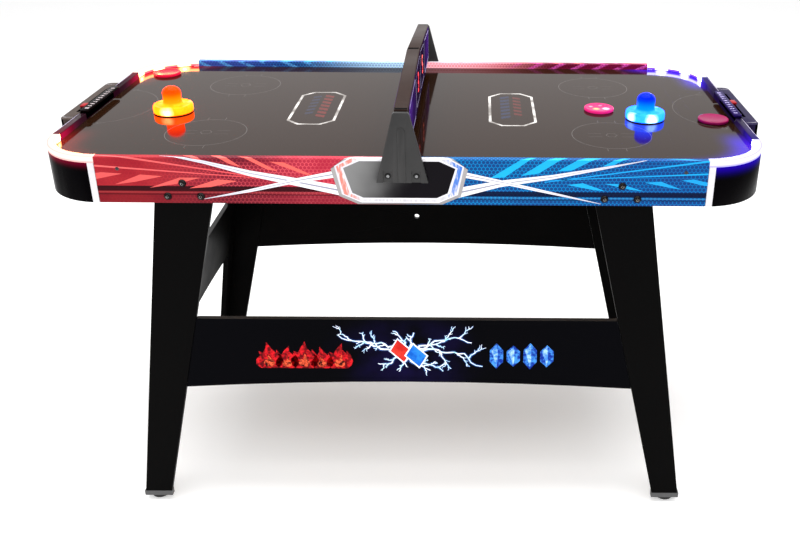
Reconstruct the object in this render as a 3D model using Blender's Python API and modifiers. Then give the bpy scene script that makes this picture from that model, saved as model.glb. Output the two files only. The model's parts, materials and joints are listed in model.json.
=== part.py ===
"""Floor-standing table air hockey game, 54 inch size, on four splayed legs.

Origin: on the floor under the table's centre. +X runs along the table's length, +Y to its rear, +Z up.
All lengths are in metres.
"""

import math

import bmesh
import bpy
from mathutils import Matrix, Vector

# ---------------------------------------------------------------- driving dimensions
TABLE_LENGTH = 1.372
TABLE_WIDTH = 0.700
RAIL_TOP = 0.800
APRON_DEPTH = 0.090
RAIL_THICKNESS = 0.015
RAIL_DEPTH_ABOVE_PLAYFIELD = 0.013
CORNER_RADIUS = 0.125
GAP = 0.0003

PLAYFIELD_THICKNESS = 0.006
PLENUM_BASE_TOP = 0.7425
PLENUM_BASE_THICKNESS = 0.004
FRAME_HALF_WIDTH = 0.318
FRAME_HALF_LENGTH = 0.655
FRAME_BATTEN = 0.018

LIGHT_SKIRT = 0.012
CORNER_STEPS = 16
GOAL_HALF_WIDTH = 0.095
GOAL_SILL = 0.778

GOAL_BOX_HALF_WIDTH = 0.135
GOAL_BOX_DEPTH = 0.025
GOAL_BOX_BOTTOM = 0.720
GOAL_BOX_CORNER = 0.014
GOAL_BOX_WALL = 0.0025
SCORE_STRIP_X = (0.6700, 0.6865)
SCORE_STRIP_HALF_LENGTH = 0.090
SCORE_STRIP_TOP = 0.805
SCORE_TRACK_X = (0.6890, 0.6960)
SCORE_TRACK_HALF_LENGTH = 0.085
SCORE_SLIDER_RESTS = {"left": -0.048, "right": 0.010}
FINGER_WINDOW_LEVEL = 0.743
FINGER_WINDOW_HALF_SIZE = (0.041, 0.014)

BRIDGE_BOTTOM = 0.813
BRIDGE_END_TOP = 0.8935
BRIDGE_MIDDLE_TOP = 0.919
BRIDGE_HALF_THICKNESS = 0.0123
BRIDGE_WALL = 0.0025
DISPLAY_THICKNESS = 0.0012
BRACKET_BOTTOM = 0.757
BRACKET_TOP = 0.8905
BRACKET_HALF_BOTTOM = 0.0475
BRACKET_HALF_TOP = 0.0135
BRACKET_THICKNESS = 0.0094

LEG_BOARD = 0.012
LEG_BOTTOM = 0.0243
LEG_FRONT_TOP = 0.772
LEG_SIDE_TOP = 0.7380
APRON_LEVEL = 0.710
FOOT_LEVEL = 0.014
LEG_OUTER_AT_APRON = 0.4656
LEG_OUTER_AT_FOOT = 0.5785
LEG_INNER_AT_APRON = 0.3574
LEG_INNER_AT_FOOT = 0.5230
LEG_SIDE_WIDTH_AT_APRON = 0.083
LEG_SIDE_WIDTH_AT_FOOT = 0.043
STRETCHER_TOP = 0.4541
STRETCHER_BOTTOM = 0.2932
STRETCHER_ARCH = 0.0145
STRETCHER_HOLE_RADIUS = 0.0065
STRETCHER_HOLE_LEVEL = 0.386
CAP_BOTTOM = 0.012
LEVELER_RADIUS = 0.020
LEVELER_X = 0.553
LEVELER_Y = 0.3105
BOLT_PLACES = ((0.4040, 0.7500), (0.4335, 0.7240), (0.3725, 0.7240))

FAN_HALF_SIDE = 0.060
FAN_DEPTH = 0.025
FAN_BORE = 0.057
FAN_BLADES = 7
POWER_PANEL_CENTRE = (0.265, 0.270)

PUSHER_RADIUS = 0.0408
PUSHER_HEIGHT = 0.0558
PUSHER_GRIP_RADIUS = 0.0190
PUSHER_BASE_HEIGHT = 0.0178
PUCK_RADIUS = 0.032
PUCK_THICKNESS = 0.0065
PUSHER_PLACES = {"left": (-0.5095, -0.0371), "right": (0.4895, -0.0593)}
PUCK_PLACES = {"lit": (0.399, -0.003), "goal": (0.631, -0.073), "corner": (-0.614, 0.256)}

# ---------------------------------------------------------------- values worked out from them
HALF_LENGTH = TABLE_LENGTH / 2
HALF_WIDTH = TABLE_WIDTH / 2
APRON_BOTTOM = RAIL_TOP - APRON_DEPTH
PLAYFIELD_TOP = RAIL_TOP - RAIL_DEPTH_ABOVE_PLAYFIELD
JOINT_X = HALF_LENGTH - CORNER_RADIUS
JOINT_Y = HALF_WIDTH - CORNER_RADIUS
INNER_LENGTH = HALF_LENGTH - RAIL_THICKNESS
INNER_WIDTH = HALF_WIDTH - RAIL_THICKNESS
INNER_RADIUS = CORNER_RADIUS - RAIL_THICKNESS
GOAL_BOX_OUTER = HALF_LENGTH + GOAL_BOX_DEPTH
LEG_FACE = INNER_WIDTH - GAP
LEG_BACK = LEG_FACE - LEG_BOARD
SIDES = {"left": -1, "right": 1}
ENDS = {"front": -1, "rear": 1}

# Finishes: base colour, roughness, metallic.
RED_DECAL = ((0.55, 0.04, 0.06), 0.35, 0.0)
BLACK_BOARD = ((0.012, 0.012, 0.014), 0.42, 0.0)
BLACK_GLOSS = ((0.010, 0.010, 0.012), 0.15, 0.0)
PLAYFIELD_FINISH = ((0.030, 0.028, 0.027), 0.12, 0.0)
RAW_BOARD = ((0.36, 0.26, 0.17), 0.75, 0.0)
FROSTED_LIGHT = ((0.90, 0.90, 0.92), 0.45, 0.0)
GREY_PLASTIC = ((0.10, 0.10, 0.105), 0.45, 0.0)
BLACK_PLASTIC = ((0.015, 0.015, 0.017), 0.40, 0.0)
RED_PLASTIC = ((0.55, 0.04, 0.04), 0.35, 0.0)
DISPLAY_FILM = ((0.13, 0.05, 0.30), 0.20, 0.0)
BLACK_STEEL = ((0.02, 0.02, 0.022), 0.35, 1.0)
CAP_GREY = ((0.16, 0.16, 0.165), 0.50, 0.0)
AMBER_PLASTIC = ((0.95, 0.55, 0.05), 0.20, 0.0)
CYAN_PLASTIC = ((0.05, 0.55, 0.90), 0.20, 0.0)
PINK_PLASTIC = ((0.70, 0.04, 0.16), 0.25, 0.0)


# ---------------------------------------------------------------- helpers
def clear_scene():
    for obj in list(bpy.data.objects):
        bpy.data.objects.remove(obj, do_unlink=True)


def new_collection(name):
    collection = bpy.data.collections.new(name)
    bpy.context.scene.collection.children.link(collection)
    return collection


def give_finish(obj, finish):
    colour, roughness, metallic = finish
    material = bpy.data.materials.new(obj.name + "_finish")
    material.use_nodes = True
    shader = material.node_tree.nodes["Principled BSDF"]
    shader.inputs["Base Color"].default_value = (*colour, 1.0)
    shader.inputs["Roughness"].default_value = roughness
    shader.inputs["Metallic"].default_value = metallic
    material.diffuse_color = (*colour, 1.0)
    obj.data.materials.append(material)


def place_mesh(name, mesh, finish, bevel=0.0, location=(0, 0, 0)):
    """An object of this mesh: a part where it has a finish, and otherwise a tool for a Boolean."""
    obj = bpy.data.objects.new(name, mesh)
    obj.location = location
    if finish:
        parts.objects.link(obj)
        give_finish(obj, finish)
    else:
        cutters.objects.link(obj)
        obj.hide_render = True
        obj.display_type = "WIRE"
    if bevel:
        edge = obj.modifiers.new("Rounded edges", "BEVEL")
        edge.width = bevel
        edge.segments = 2
        edge.limit_method = "ANGLE"
    return obj


def mesh_of(bm, name):
    bmesh.ops.recalc_face_normals(bm, faces=bm.faces)
    if bm.calc_volume(signed=True) < 0:
        bmesh.ops.reverse_faces(bm, faces=bm.faces)
    mesh = bpy.data.meshes.new(name)
    bm.to_mesh(mesh)
    bm.free()
    return mesh


def block(name, low, high, finish=None, bevel=0.0, location=(0, 0, 0)):
    """A box between two corners."""
    bm = bmesh.new()
    low = Vector(low)
    high = Vector(high)
    size = high - low
    matrix = Matrix.Translation((low + high) / 2) @ Matrix.Diagonal((*size, 1.0))
    bmesh.ops.create_cube(bm, size=1.0, matrix=matrix)
    return place_mesh(name, mesh_of(bm, name), finish, bevel, location)


def rod(name, radius, start, end, finish=None, segments=20):
    """A round bar from start to end."""
    bm = bmesh.new()
    start = Vector(start)
    run = Vector(end) - start
    turn = Vector((0, 0, 1)).rotation_difference(run).to_matrix().to_4x4()
    matrix = Matrix.Translation(start + run / 2) @ turn
    bmesh.ops.create_cone(
        bm, cap_ends=True, segments=segments, radius1=radius, radius2=radius, depth=run.length, matrix=matrix
    )
    return place_mesh(name, mesh_of(bm, name), finish)


PLANES = {
    "XY": Matrix.Identity(4),
    "XZ": Matrix(((1, 0, 0, 0), (0, 0, -1, 0), (0, 1, 0, 0), (0, 0, 0, 1))),
    "YZ": Matrix(((0, 0, 1, 0), (1, 0, 0, 0), (0, 1, 0, 0), (0, 0, 0, 1))),
}


def slab(name, outlines, plane, low, high, finish=None, bevel=0.0, shear=None):
    """A plate with these outlines in the plane, between two levels along the plane's normal."""
    curve = bpy.data.curves.new(name, "CURVE")
    curve.dimensions = "2D"
    curve.fill_mode = "BOTH"
    curve.extrude = (high - low) / 2
    for outline in outlines:
        spline = curve.splines.new("POLY")
        spline.points.add(len(outline) - 1)
        for point, (across, up) in zip(spline.points, outline):
            point.co = (across, up, 0, 1)
        spline.use_cyclic_u = True
    flat = bpy.data.objects.new(name + "_outline", curve)
    parts.objects.link(flat)
    graph = bpy.context.evaluated_depsgraph_get()
    mesh = bpy.data.meshes.new_from_object(flat.evaluated_get(graph))
    bpy.data.objects.remove(flat, do_unlink=True)
    bm = bmesh.new()
    bm.from_mesh(mesh)
    bmesh.ops.remove_doubles(bm, verts=bm.verts, dist=0.00001)
    middle = (low + high) / 2
    sign = -1 if plane == "XZ" else 1
    bm.transform(PLANES[plane] @ Matrix.Translation((0, 0, sign * middle)))
    if shear:
        bm.transform(shear)
    return place_mesh(name, mesh_of(bm, name), finish, bevel)


def arc(centre, radius, start, end, steps):
    """Points along an arc, in degrees."""
    points = []
    for step in range(steps + 1):
        angle = math.radians(start + (end - start) * step / steps)
        points.append((centre[0] + radius * math.cos(angle), centre[1] + radius * math.sin(angle)))
    return points


def rounded_rectangle(half_x, half_y, radius, steps):
    points = []
    for quarter, (sign_x, sign_y) in enumerate(((1, 1), (-1, 1), (-1, -1), (1, -1))):
        centre = (sign_x * (half_x - radius), sign_y * (half_y - radius))
        points += arc(centre, radius, 90 * quarter, 90 * quarter + 90, steps)
    return points


def turned(name, profile, finish=None, location=(0, 0, 0), segments=32, rotation=(0, 0, 0)):
    """A turned piece: the profile runs from its top on the axis, down its outside, to its bottom on the axis."""
    mesh = bpy.data.meshes.new(name)
    edges = [(index, index + 1) for index in range(len(profile) - 1)]
    mesh.from_pydata([(radius, 0, height) for radius, height in profile], edges, [])
    obj = place_mesh(name, mesh, finish, location=location)
    obj.rotation_euler = rotation
    screw = obj.modifiers.new("Turned", "SCREW")
    screw.steps = segments
    screw.render_steps = segments
    screw.use_merge_vertices = True
    screw.merge_threshold = 0.00001
    return obj


def spun(name, section, corner, start, end, steps, finish=None):
    """A section of radius and height swept round a table corner, from its long-side joint (0) to its end joint (90)."""
    bm = bmesh.new()
    turn = Matrix.Rotation(math.radians(start), 4, "Z")
    verts = [bm.verts.new(turn @ Vector((0, radius, height))) for radius, height in section]
    face = bm.faces.new(verts)
    bmesh.ops.spin(
        bm,
        geom=[face, *face.edges, *face.verts],
        cent=(0, 0, 0),
        axis=(0, 0, 1),
        angle=math.radians(end - start),
        steps=steps,
        use_duplicate=False,
    )
    bmesh.ops.remove_doubles(bm, verts=bm.verts, dist=0.00001)
    sign_x, sign_y = corner
    mirror = Matrix.Diagonal((-sign_x, sign_y, 1, 1))
    bm.transform(Matrix.Translation((sign_x * JOINT_X, sign_y * JOINT_Y, 0)) @ mirror)
    return place_mesh(name, mesh_of(bm, name), finish)


def combine(target, other, operation, solver="EXACT"):
    step = target.modifiers.new(operation.title() + " " + other.name, "BOOLEAN")
    step.operation = operation
    step.solver = solver
    step.object = other


def cut(target, *others):
    for other in others:
        combine(target, other, "DIFFERENCE")


def join(target, *others):
    for other in others:
        combine(target, other, "UNION")


def smooth(obj, degrees=35):
    obj.data.shade_smooth()
    obj.data.set_sharp_from_angle(angle=math.radians(degrees))


# ---------------------------------------------------------------- table top
def make_playfield():
    edge = rounded_rectangle(INNER_LENGTH - GAP, INNER_WIDTH - GAP, INNER_RADIUS - GAP, 10)
    slab("playfield", [edge], "XY", PLAYFIELD_TOP - PLAYFIELD_THICKNESS, PLAYFIELD_TOP, PLAYFIELD_FINISH)


def make_air_chamber():
    """Battens under the playfield and the panel that closes the air chamber, with the blower's hole."""
    outer = rounded_rectangle(FRAME_HALF_LENGTH, FRAME_HALF_WIDTH, 0.1, 4)
    inner = rounded_rectangle(FRAME_HALF_LENGTH - FRAME_BATTEN, FRAME_HALF_WIDTH - FRAME_BATTEN, 0.082, 4)
    top = PLAYFIELD_TOP - PLAYFIELD_THICKNESS - GAP
    slab("support_frame", [outer, inner], "XY", PLENUM_BASE_TOP + GAP, top, RAW_BOARD)
    hole = arc((0, 0), FAN_BORE - 0.002, 0, 345, 23)
    bottom = PLENUM_BASE_TOP - PLENUM_BASE_THICKNESS
    slab("plenum_base", [outer, hole], "XY", bottom, PLENUM_BASE_TOP, RAW_BOARD)


def make_aprons():
    for end, sign in ENDS.items():
        apron = block(
            f"apron_{end}",
            (-JOINT_X + GAP, min(sign * HALF_WIDTH, sign * INNER_WIDTH), APRON_BOTTOM),
            (JOINT_X - GAP, max(sign * HALF_WIDTH, sign * INNER_WIDTH), RAIL_TOP),
            RED_DECAL,
            bevel=0.0015,
        )
        cut(apron, *bolt_holes[end])


def make_end_rails():
    half = JOINT_Y - GAP
    outline = [
        (-half, APRON_BOTTOM),
        (half, APRON_BOTTOM),
        (half, RAIL_TOP),
        (GOAL_HALF_WIDTH, RAIL_TOP),
        (GOAL_HALF_WIDTH, GOAL_SILL),
        (-GOAL_HALF_WIDTH, GOAL_SILL),
        (-GOAL_HALF_WIDTH, RAIL_TOP),
        (-half, RAIL_TOP),
    ]
    for side, sign in SIDES.items():
        low, high = sorted((sign * INNER_LENGTH, sign * HALF_LENGTH))
        slab(f"end_rail_{side}", [outline], "YZ", low, high, BLACK_GLOSS)


def make_corners():
    """A black shell below and, over it, a frosted light cover with a full-height band at each joint."""
    skirt_bottom = RAIL_TOP - LIGHT_SKIRT
    wall = 0.002
    reach = 0.01
    light_section = [
        (INNER_RADIUS, APRON_BOTTOM),
        (INNER_RADIUS, RAIL_TOP),
        (CORNER_RADIUS, RAIL_TOP),
        (CORNER_RADIUS, APRON_BOTTOM),
    ]
    room_section = [
        (INNER_RADIUS - reach, APRON_BOTTOM - reach),
        (INNER_RADIUS - reach, skirt_bottom),
        (INNER_RADIUS + wall, skirt_bottom),
        (INNER_RADIUS + wall, RAIL_TOP - wall),
        (CORNER_RADIUS - wall, RAIL_TOP - wall),
        (CORNER_RADIUS - wall, skirt_bottom),
        (CORNER_RADIUS + reach, skirt_bottom),
        (CORNER_RADIUS + reach, APRON_BOTTOM - reach),
    ]
    skin = 0.003
    ledge = INNER_RADIUS + GAP
    shell_top = skirt_bottom - GAP
    shell_section = [
        (CORNER_RADIUS, APRON_BOTTOM),
        (CORNER_RADIUS, shell_top),
        (ledge, shell_top),
        (ledge, shell_top - skin),
        (CORNER_RADIUS - skin, shell_top - skin),
        (CORNER_RADIUS - skin, APRON_BOTTOM + skin),
        (ledge, APRON_BOTTOM + skin),
        (ledge, APRON_BOTTOM),
    ]
    step = 90 / CORNER_STEPS
    clearance = math.degrees(GAP / INNER_RADIUS)
    for end, sign_y in ENDS.items():
        for side, sign_x in SIDES.items():
            place = f"{end}_{side}"
            corner = (sign_x, sign_y)
            light = spun(f"corner_light_{place}", light_section, corner, 0, 90, CORNER_STEPS, FROSTED_LIGHT)
            room = spun(f"shell_room_{place}", room_section, corner, step, 90 - step, CORNER_STEPS - 2)
            cut(light, room)
            shell_start = step + clearance
            shell_end = 90 - step - clearance
            spun(
                f"corner_shell_{place}",
                shell_section,
                corner,
                shell_start,
                shell_end,
                CORNER_STEPS - 2,
                BLACK_PLASTIC,
            )


# ---------------------------------------------------------------- goals and score sliders
def make_goals():
    for side, sign in SIDES.items():
        make_goal_box(side, sign)
        low, high = sorted((sign * SCORE_STRIP_X[0], sign * SCORE_STRIP_X[1]))
        middle = (low + high) / 2
        half_thickness = (high - low) / 2
        edge = [
            (middle + across, along)
            for across, along in rounded_rectangle(half_thickness, SCORE_STRIP_HALF_LENGTH, 0.005, 3)
        ]
        slab(f"score_strip_{side}", [edge], "XY", RAIL_TOP + GAP, SCORE_STRIP_TOP, BLACK_PLASTIC)
        make_score_slider(side, sign, SCORE_SLIDER_RESTS[side])


def make_goal_box(side, sign):
    """The box outside a goal mouth, open to the goal, with a slot in its lid and a finger window outside."""
    outer = GOAL_BOX_OUTER - GOAL_BOX_WALL
    reach = GOAL_BOX_HALF_WIDTH - 3 * GOAL_BOX_WALL

    def across(low, high):
        return sorted((sign * low, sign * high))

    round_x = GOAL_BOX_OUTER - GOAL_BOX_CORNER
    round_y = GOAL_BOX_HALF_WIDTH - GOAL_BOX_CORNER
    edge = [(HALF_LENGTH + GAP, GOAL_BOX_HALF_WIDTH), (HALF_LENGTH + GAP, -GOAL_BOX_HALF_WIDTH)]
    edge += arc((round_x, -round_y), GOAL_BOX_CORNER, -90, 0, 6)
    edge += arc((round_x, round_y), GOAL_BOX_CORNER, 0, 90, 6)
    edge = [(sign * x, y) for x, y in edge]
    box = slab(f"goal_box_{side}", [edge], "XY", GOAL_BOX_BOTTOM, RAIL_TOP, GREY_PLASTIC)
    low, high = across(HALF_LENGTH - 0.01, outer)
    pocket = block(
        f"goal_pocket_{side}",
        (low, -reach, GOAL_BOX_BOTTOM + GOAL_BOX_WALL),
        (high, reach, RAIL_TOP - 0.003),
    )
    low, high = across(*SCORE_TRACK_X)
    track = block(
        f"score_track_{side}", (low, -SCORE_TRACK_HALF_LENGTH, 0.79), (high, SCORE_TRACK_HALF_LENGTH, 0.81)
    )
    low, high = across(outer - 0.01, GOAL_BOX_OUTER + 0.01)
    opening = rounded_rectangle(*FINGER_WINDOW_HALF_SIZE, 0.010, 4)
    window = slab(
        f"finger_window_{side}",
        [[(along, FINGER_WINDOW_LEVEL + up) for along, up in opening]],
        "YZ",
        low,
        high,
    )
    cut(box, pocket, track, window)


def make_score_slider(side, sign, rest):
    """A cap above the lid, a stem through its slot and a flange under it. Its origin is on its travel."""
    track_middle = sum(SCORE_TRACK_X) / 2
    origin = (sign * track_middle, rest, RAIL_TOP)
    cap = block(
        f"score_slider_{side}",
        (-0.0055, -0.011, 2 * GAP),
        (0.0055, 0.011, 0.0052),
        RED_PLASTIC,
        bevel=0.0012,
        location=origin,
    )
    stem = block(f"slider_stem_{side}", (-0.0030, -0.007, -0.0050), (0.0030, 0.007, 0.0030), location=origin)
    flange = block(f"slider_flange_{side}", (-0.0055, -0.009, -0.0060), (0.0055, 0.009, -0.0035), location=origin)
    join(cap, stem, flange)


# ---------------------------------------------------------------- overhead score bridge
def make_bridge():
    """Two hollow halves that meet over the centre line, a display film on each face, and a bracket at each end."""
    end_y = HALF_WIDTH - GAP
    for end, sign in ENDS.items():
        outline = [
            (sign * GAP, BRIDGE_BOTTOM),
            (sign * end_y, BRIDGE_BOTTOM),
            (sign * end_y, BRIDGE_END_TOP),
            (sign * GAP, BRIDGE_MIDDLE_TOP),
        ]
        half = slab(
            f"score_bridge_{end}",
            [outline],
            "YZ",
            -BRIDGE_HALF_THICKNESS,
            BRIDGE_HALF_THICKNESS,
            GREY_PLASTIC,
            bevel=0.001,
        )
        wall = BRIDGE_WALL
        hollow = [
            (sign * (GAP + wall), BRIDGE_BOTTOM - 0.01),
            (sign * (end_y - wall), BRIDGE_BOTTOM - 0.01),
            (sign * (end_y - wall), BRIDGE_END_TOP - wall),
            (sign * (GAP + wall), BRIDGE_MIDDLE_TOP - wall),
        ]
        inside = BRIDGE_HALF_THICKNESS - wall
        cut(half, slab(f"bridge_hollow_{end}", [hollow], "YZ", -inside, inside))
        make_bracket(end, sign)
    film = [
        (-0.330, BRIDGE_BOTTOM + 0.0035),
        (0.330, BRIDGE_BOTTOM + 0.0035),
        (0.330, BRIDGE_END_TOP - 0.002),
        (0, BRIDGE_MIDDLE_TOP - 0.0035),
        (-0.330, BRIDGE_END_TOP - 0.002),
    ]
    for side, sign in SIDES.items():
        near = BRIDGE_HALF_THICKNESS + GAP
        low, high = sorted((sign * near, sign * (near + DISPLAY_THICKNESS)))
        slab(f"score_display_{side}", [film], "YZ", low, high, DISPLAY_FILM)


def make_bracket(end, sign):
    """A tapered bracket on the apron's face, with a raised rib and a recess round each screw."""
    outline = [
        (-BRACKET_HALF_BOTTOM, BRACKET_BOTTOM),
        (BRACKET_HALF_BOTTOM, BRACKET_BOTTOM),
        (BRACKET_HALF_TOP + 0.0015, BRACKET_TOP - 0.0030),
        (BRACKET_HALF_TOP - 0.0015, BRACKET_TOP),
        (-BRACKET_HALF_TOP + 0.0015, BRACKET_TOP),
        (-BRACKET_HALF_TOP - 0.0015, BRACKET_TOP - 0.0030),
    ]
    back = HALF_WIDTH + GAP
    front = back + BRACKET_THICKNESS

    def along(low, high):
        return sorted((sign * low, sign * high))

    bracket = slab(f"bridge_bracket_{end}", [outline], "XZ", *along(back, front), GREY_PLASTIC)
    rib_outline = [(-0.007, BRACKET_BOTTOM + 0.002), (0.007, BRACKET_BOTTOM + 0.002)]
    rib_outline += arc((0, 0.856), 0.007, 0, 180, 6)
    rib = slab(f"bracket_rib_{end}", [rib_outline], "XZ", *along(front - 0.003, front + 0.0014))
    join(bracket, rib)
    for side, sign_x in SIDES.items():
        low_y, high_y = along(front - 0.0030, front + 0.01)
        low_x, high_x = sorted((sign_x * 0.0175, sign_x * 0.0345))
        recess = block(
            f"bracket_recess_{end}_{side}", (low_x, low_y, BRACKET_BOTTOM - 0.01), (high_x, high_y, 0.7800)
        )
        cut(bracket, recess)


# ---------------------------------------------------------------- legs
def between(at_apron, at_foot, level):
    """A width or place that changes evenly from the apron's bottom to the foot."""
    share = (APRON_LEVEL - level) / (APRON_LEVEL - FOOT_LEVEL)
    return at_apron + (at_foot - at_apron) * share


def leg_outer(level):
    return between(LEG_OUTER_AT_APRON, LEG_OUTER_AT_FOOT, level)


def leg_inner(level):
    return between(LEG_INNER_AT_APRON, LEG_INNER_AT_FOOT, level)


def leg_side_edge(level):
    """The free edge of a leg's side board, as a distance from the table's centre plane."""
    return LEG_BACK - GAP - between(LEG_SIDE_WIDTH_AT_APRON, LEG_SIDE_WIDTH_AT_FOOT, level)


def splay(sign_x):
    """Leans a plate that stands across the table outwards, along the leg's outer edge."""
    slope = (LEG_OUTER_AT_APRON - LEG_OUTER_AT_FOOT) / (APRON_LEVEL - FOOT_LEVEL)
    lean = Matrix.Identity(4)
    lean[0][2] = sign_x * slope
    lean[0][3] = -sign_x * slope * APRON_LEVEL
    return lean


def make_bolt_holes():
    """Tools for the three bolt holes through apron and leg at each leg, by the apron that they pass through."""
    holes = {"front": [], "rear": []}
    for end, sign_y in ENDS.items():
        for side, sign_x in SIDES.items():
            for number, (x, z) in enumerate(BOLT_PLACES):
                start = (sign_x * x, sign_y * (HALF_WIDTH + 0.01), z)
                finish = (sign_x * x, sign_y * (LEG_BACK - 0.01), z)
                name = f"bolt_hole_{end}_{side}_{number}"
                holes[end].append(rod(name, 0.0035, start, finish, segments=12))
    return holes


def make_leg(end, side, sign_x, sign_y):
    place = f"{end}_{side}"
    wide = [
        (sign_x * leg_outer(LEG_FRONT_TOP), LEG_FRONT_TOP),
        (sign_x * leg_inner(LEG_FRONT_TOP), LEG_FRONT_TOP),
        (sign_x * leg_inner(LEG_BOTTOM), LEG_BOTTOM),
        (sign_x * leg_outer(LEG_BOTTOM), LEG_BOTTOM),
    ]
    low, high = sorted((sign_y * LEG_FACE, sign_y * LEG_BACK))
    face = slab(f"leg_{place}_face_board", [wide], "XZ", low, high, BLACK_BOARD)
    holes = [hole for hole in bolt_holes[end] if hole.name.startswith(f"bolt_hole_{place}_")]
    cut(face, *holes)
    deep = [
        (sign_y * (LEG_BACK - GAP), LEG_SIDE_TOP),
        (sign_y * leg_side_edge(LEG_SIDE_TOP), LEG_SIDE_TOP),
        (sign_y * leg_side_edge(LEG_BOTTOM), LEG_BOTTOM),
        (sign_y * (LEG_BACK - GAP), LEG_BOTTOM),
    ]
    low, high = sorted((sign_x * (LEG_OUTER_AT_APRON - LEG_BOARD), sign_x * LEG_OUTER_AT_APRON))
    slab(f"leg_{place}_side_board", [deep], "YZ", low, high, BLACK_BOARD, shear=splay(sign_x))
    make_leg_bolts(place, sign_x, sign_y)
    make_foot(place, sign_x, sign_y)


def make_leg_bolts(place, sign_x, sign_y):
    """Three dome-head bolts through apron and leg into one nut plate behind the leg."""
    inside = LEG_BACK - GAP
    low_y, high_y = sorted((sign_y * inside, sign_y * (inside - 0.003)))
    places = [(sign_x * x, z) for x, z in BOLT_PLACES]
    low_x = min(x for x, z in places) - 0.008
    high_x = max(x for x, z in places) + 0.008
    plate = block(f"leg_bolts_{place}", (low_x, low_y, 0.716), (high_x, high_y, 0.7375), BLACK_STEEL)
    tab_x = places[0][0]
    join(plate, block(f"nut_plate_tab_{place}", (tab_x - 0.009, low_y, 0.735), (tab_x + 0.009, high_y, 0.758)))
    length = HALF_WIDTH + GAP - inside
    head = [(0, 0.0047), (0.0030, 0.0043), (0.0056, 0.0030), (0.0072, 0.0008), (0.0076, 0)]
    bolt = head + [(0.0030, 0), (0.0030, -length - 0.002), (0, -length - 0.002)]
    for number, (x, z) in enumerate(places):
        join(
            plate,
            turned(
                f"bolt_{place}_{number}",
                bolt,
                location=(x, sign_y * (HALF_WIDTH + GAP), z),
                segments=10,
                rotation=(-sign_y * math.pi / 2, 0, 0),
            ),
        )


def make_foot(place, sign_x, sign_y):
    """A moulded cap under the two leg boards, and the screwed leveler in it."""
    outer = leg_outer(CAP_BOTTOM) + 0.0005
    inner = leg_inner(LEG_BOTTOM) - 0.0005
    front = LEG_FACE - 0.0002
    back = leg_side_edge(LEG_BOTTOM) - 0.0005
    gusset = 0.016
    corners = [
        (outer, front),
        (inner, front),
        (inner, LEG_BACK - 0.001),
        (LEVELER_X - gusset, LEVELER_Y - gusset * 0.4),
        (LEVELER_X - gusset * 0.4, LEVELER_Y - gusset),
        (outer - LEG_BOARD - 0.001, back),
        (outer, back),
    ]
    outline = [(sign_x * x, sign_y * y) for x, y in corners]
    hole = arc((sign_x * LEVELER_X, sign_y * LEVELER_Y), 0.0044, 0, 337.5, 15)
    slab(f"leg_cap_{place}", [outline, hole], "XY", CAP_BOTTOM, LEG_BOTTOM - GAP, CAP_GREY)
    profile = [
        (0, 0.0230),
        (0.0040, 0.0230),
        (0.0040, 0.0095),
        (0.0165, 0.0095),
        (0.0195, 0.0080),
        (LEVELER_RADIUS, 0.0050),
        (0.0190, 0.0015),
        (0.0160, 0),
        (0, 0),
    ]
    leveler = turned(
        f"leveler_{place}",
        profile,
        BLACK_PLASTIC,
        location=(sign_x * LEVELER_X, sign_y * LEVELER_Y, 0),
        segments=18,
    )
    smooth(leveler)


def make_stretchers():
    """Four arched panels that tie the legs together, each butted between two leg boards."""
    middle = STRETCHER_BOTTOM + STRETCHER_ARCH

    def panel(reach):
        """The panel's outline, with its ends along the leg edges and its bottom arched."""
        top_reach = reach(STRETCHER_TOP) - GAP
        bottom_reach = reach(STRETCHER_BOTTOM) - GAP
        points = [(-top_reach, STRETCHER_TOP), (top_reach, STRETCHER_TOP)]
        for step in range(17):
            share = 1 - step / 8
            points.append((share * bottom_reach, middle - STRETCHER_ARCH * share * share))
        return points

    for end, sign in ENDS.items():
        low, high = sorted((sign * (LEG_FACE - 0.001), sign * (LEG_BACK - 0.001)))
        board = slab(f"stretcher_{end}", [panel(leg_inner)], "XZ", low, high, BLACK_BOARD)
        if end == "rear":
            start = (-0.024, sign * LEG_BACK - 0.02, STRETCHER_HOLE_LEVEL)
            finish = (-0.024, sign * LEG_FACE + 0.02, STRETCHER_HOLE_LEVEL)
            cut(board, rod("stretcher_hole_rear", STRETCHER_HOLE_RADIUS, start, finish))
    for side, sign in SIDES.items():
        low, high = sorted((sign * (LEG_OUTER_AT_APRON - LEG_BOARD), sign * LEG_OUTER_AT_APRON))
        board = slab(f"stretcher_{side}", [panel(leg_side_edge)], "YZ", low, high, BLACK_BOARD, shear=splay(sign))
        x = sign * leg_outer(STRETCHER_HOLE_LEVEL)
        start = (x - 0.04, 0, STRETCHER_HOLE_LEVEL)
        finish = (x + 0.04, 0, STRETCHER_HOLE_LEVEL)
        cut(board, rod(f"stretcher_hole_{side}", STRETCHER_HOLE_RADIUS, start, finish))


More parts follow.
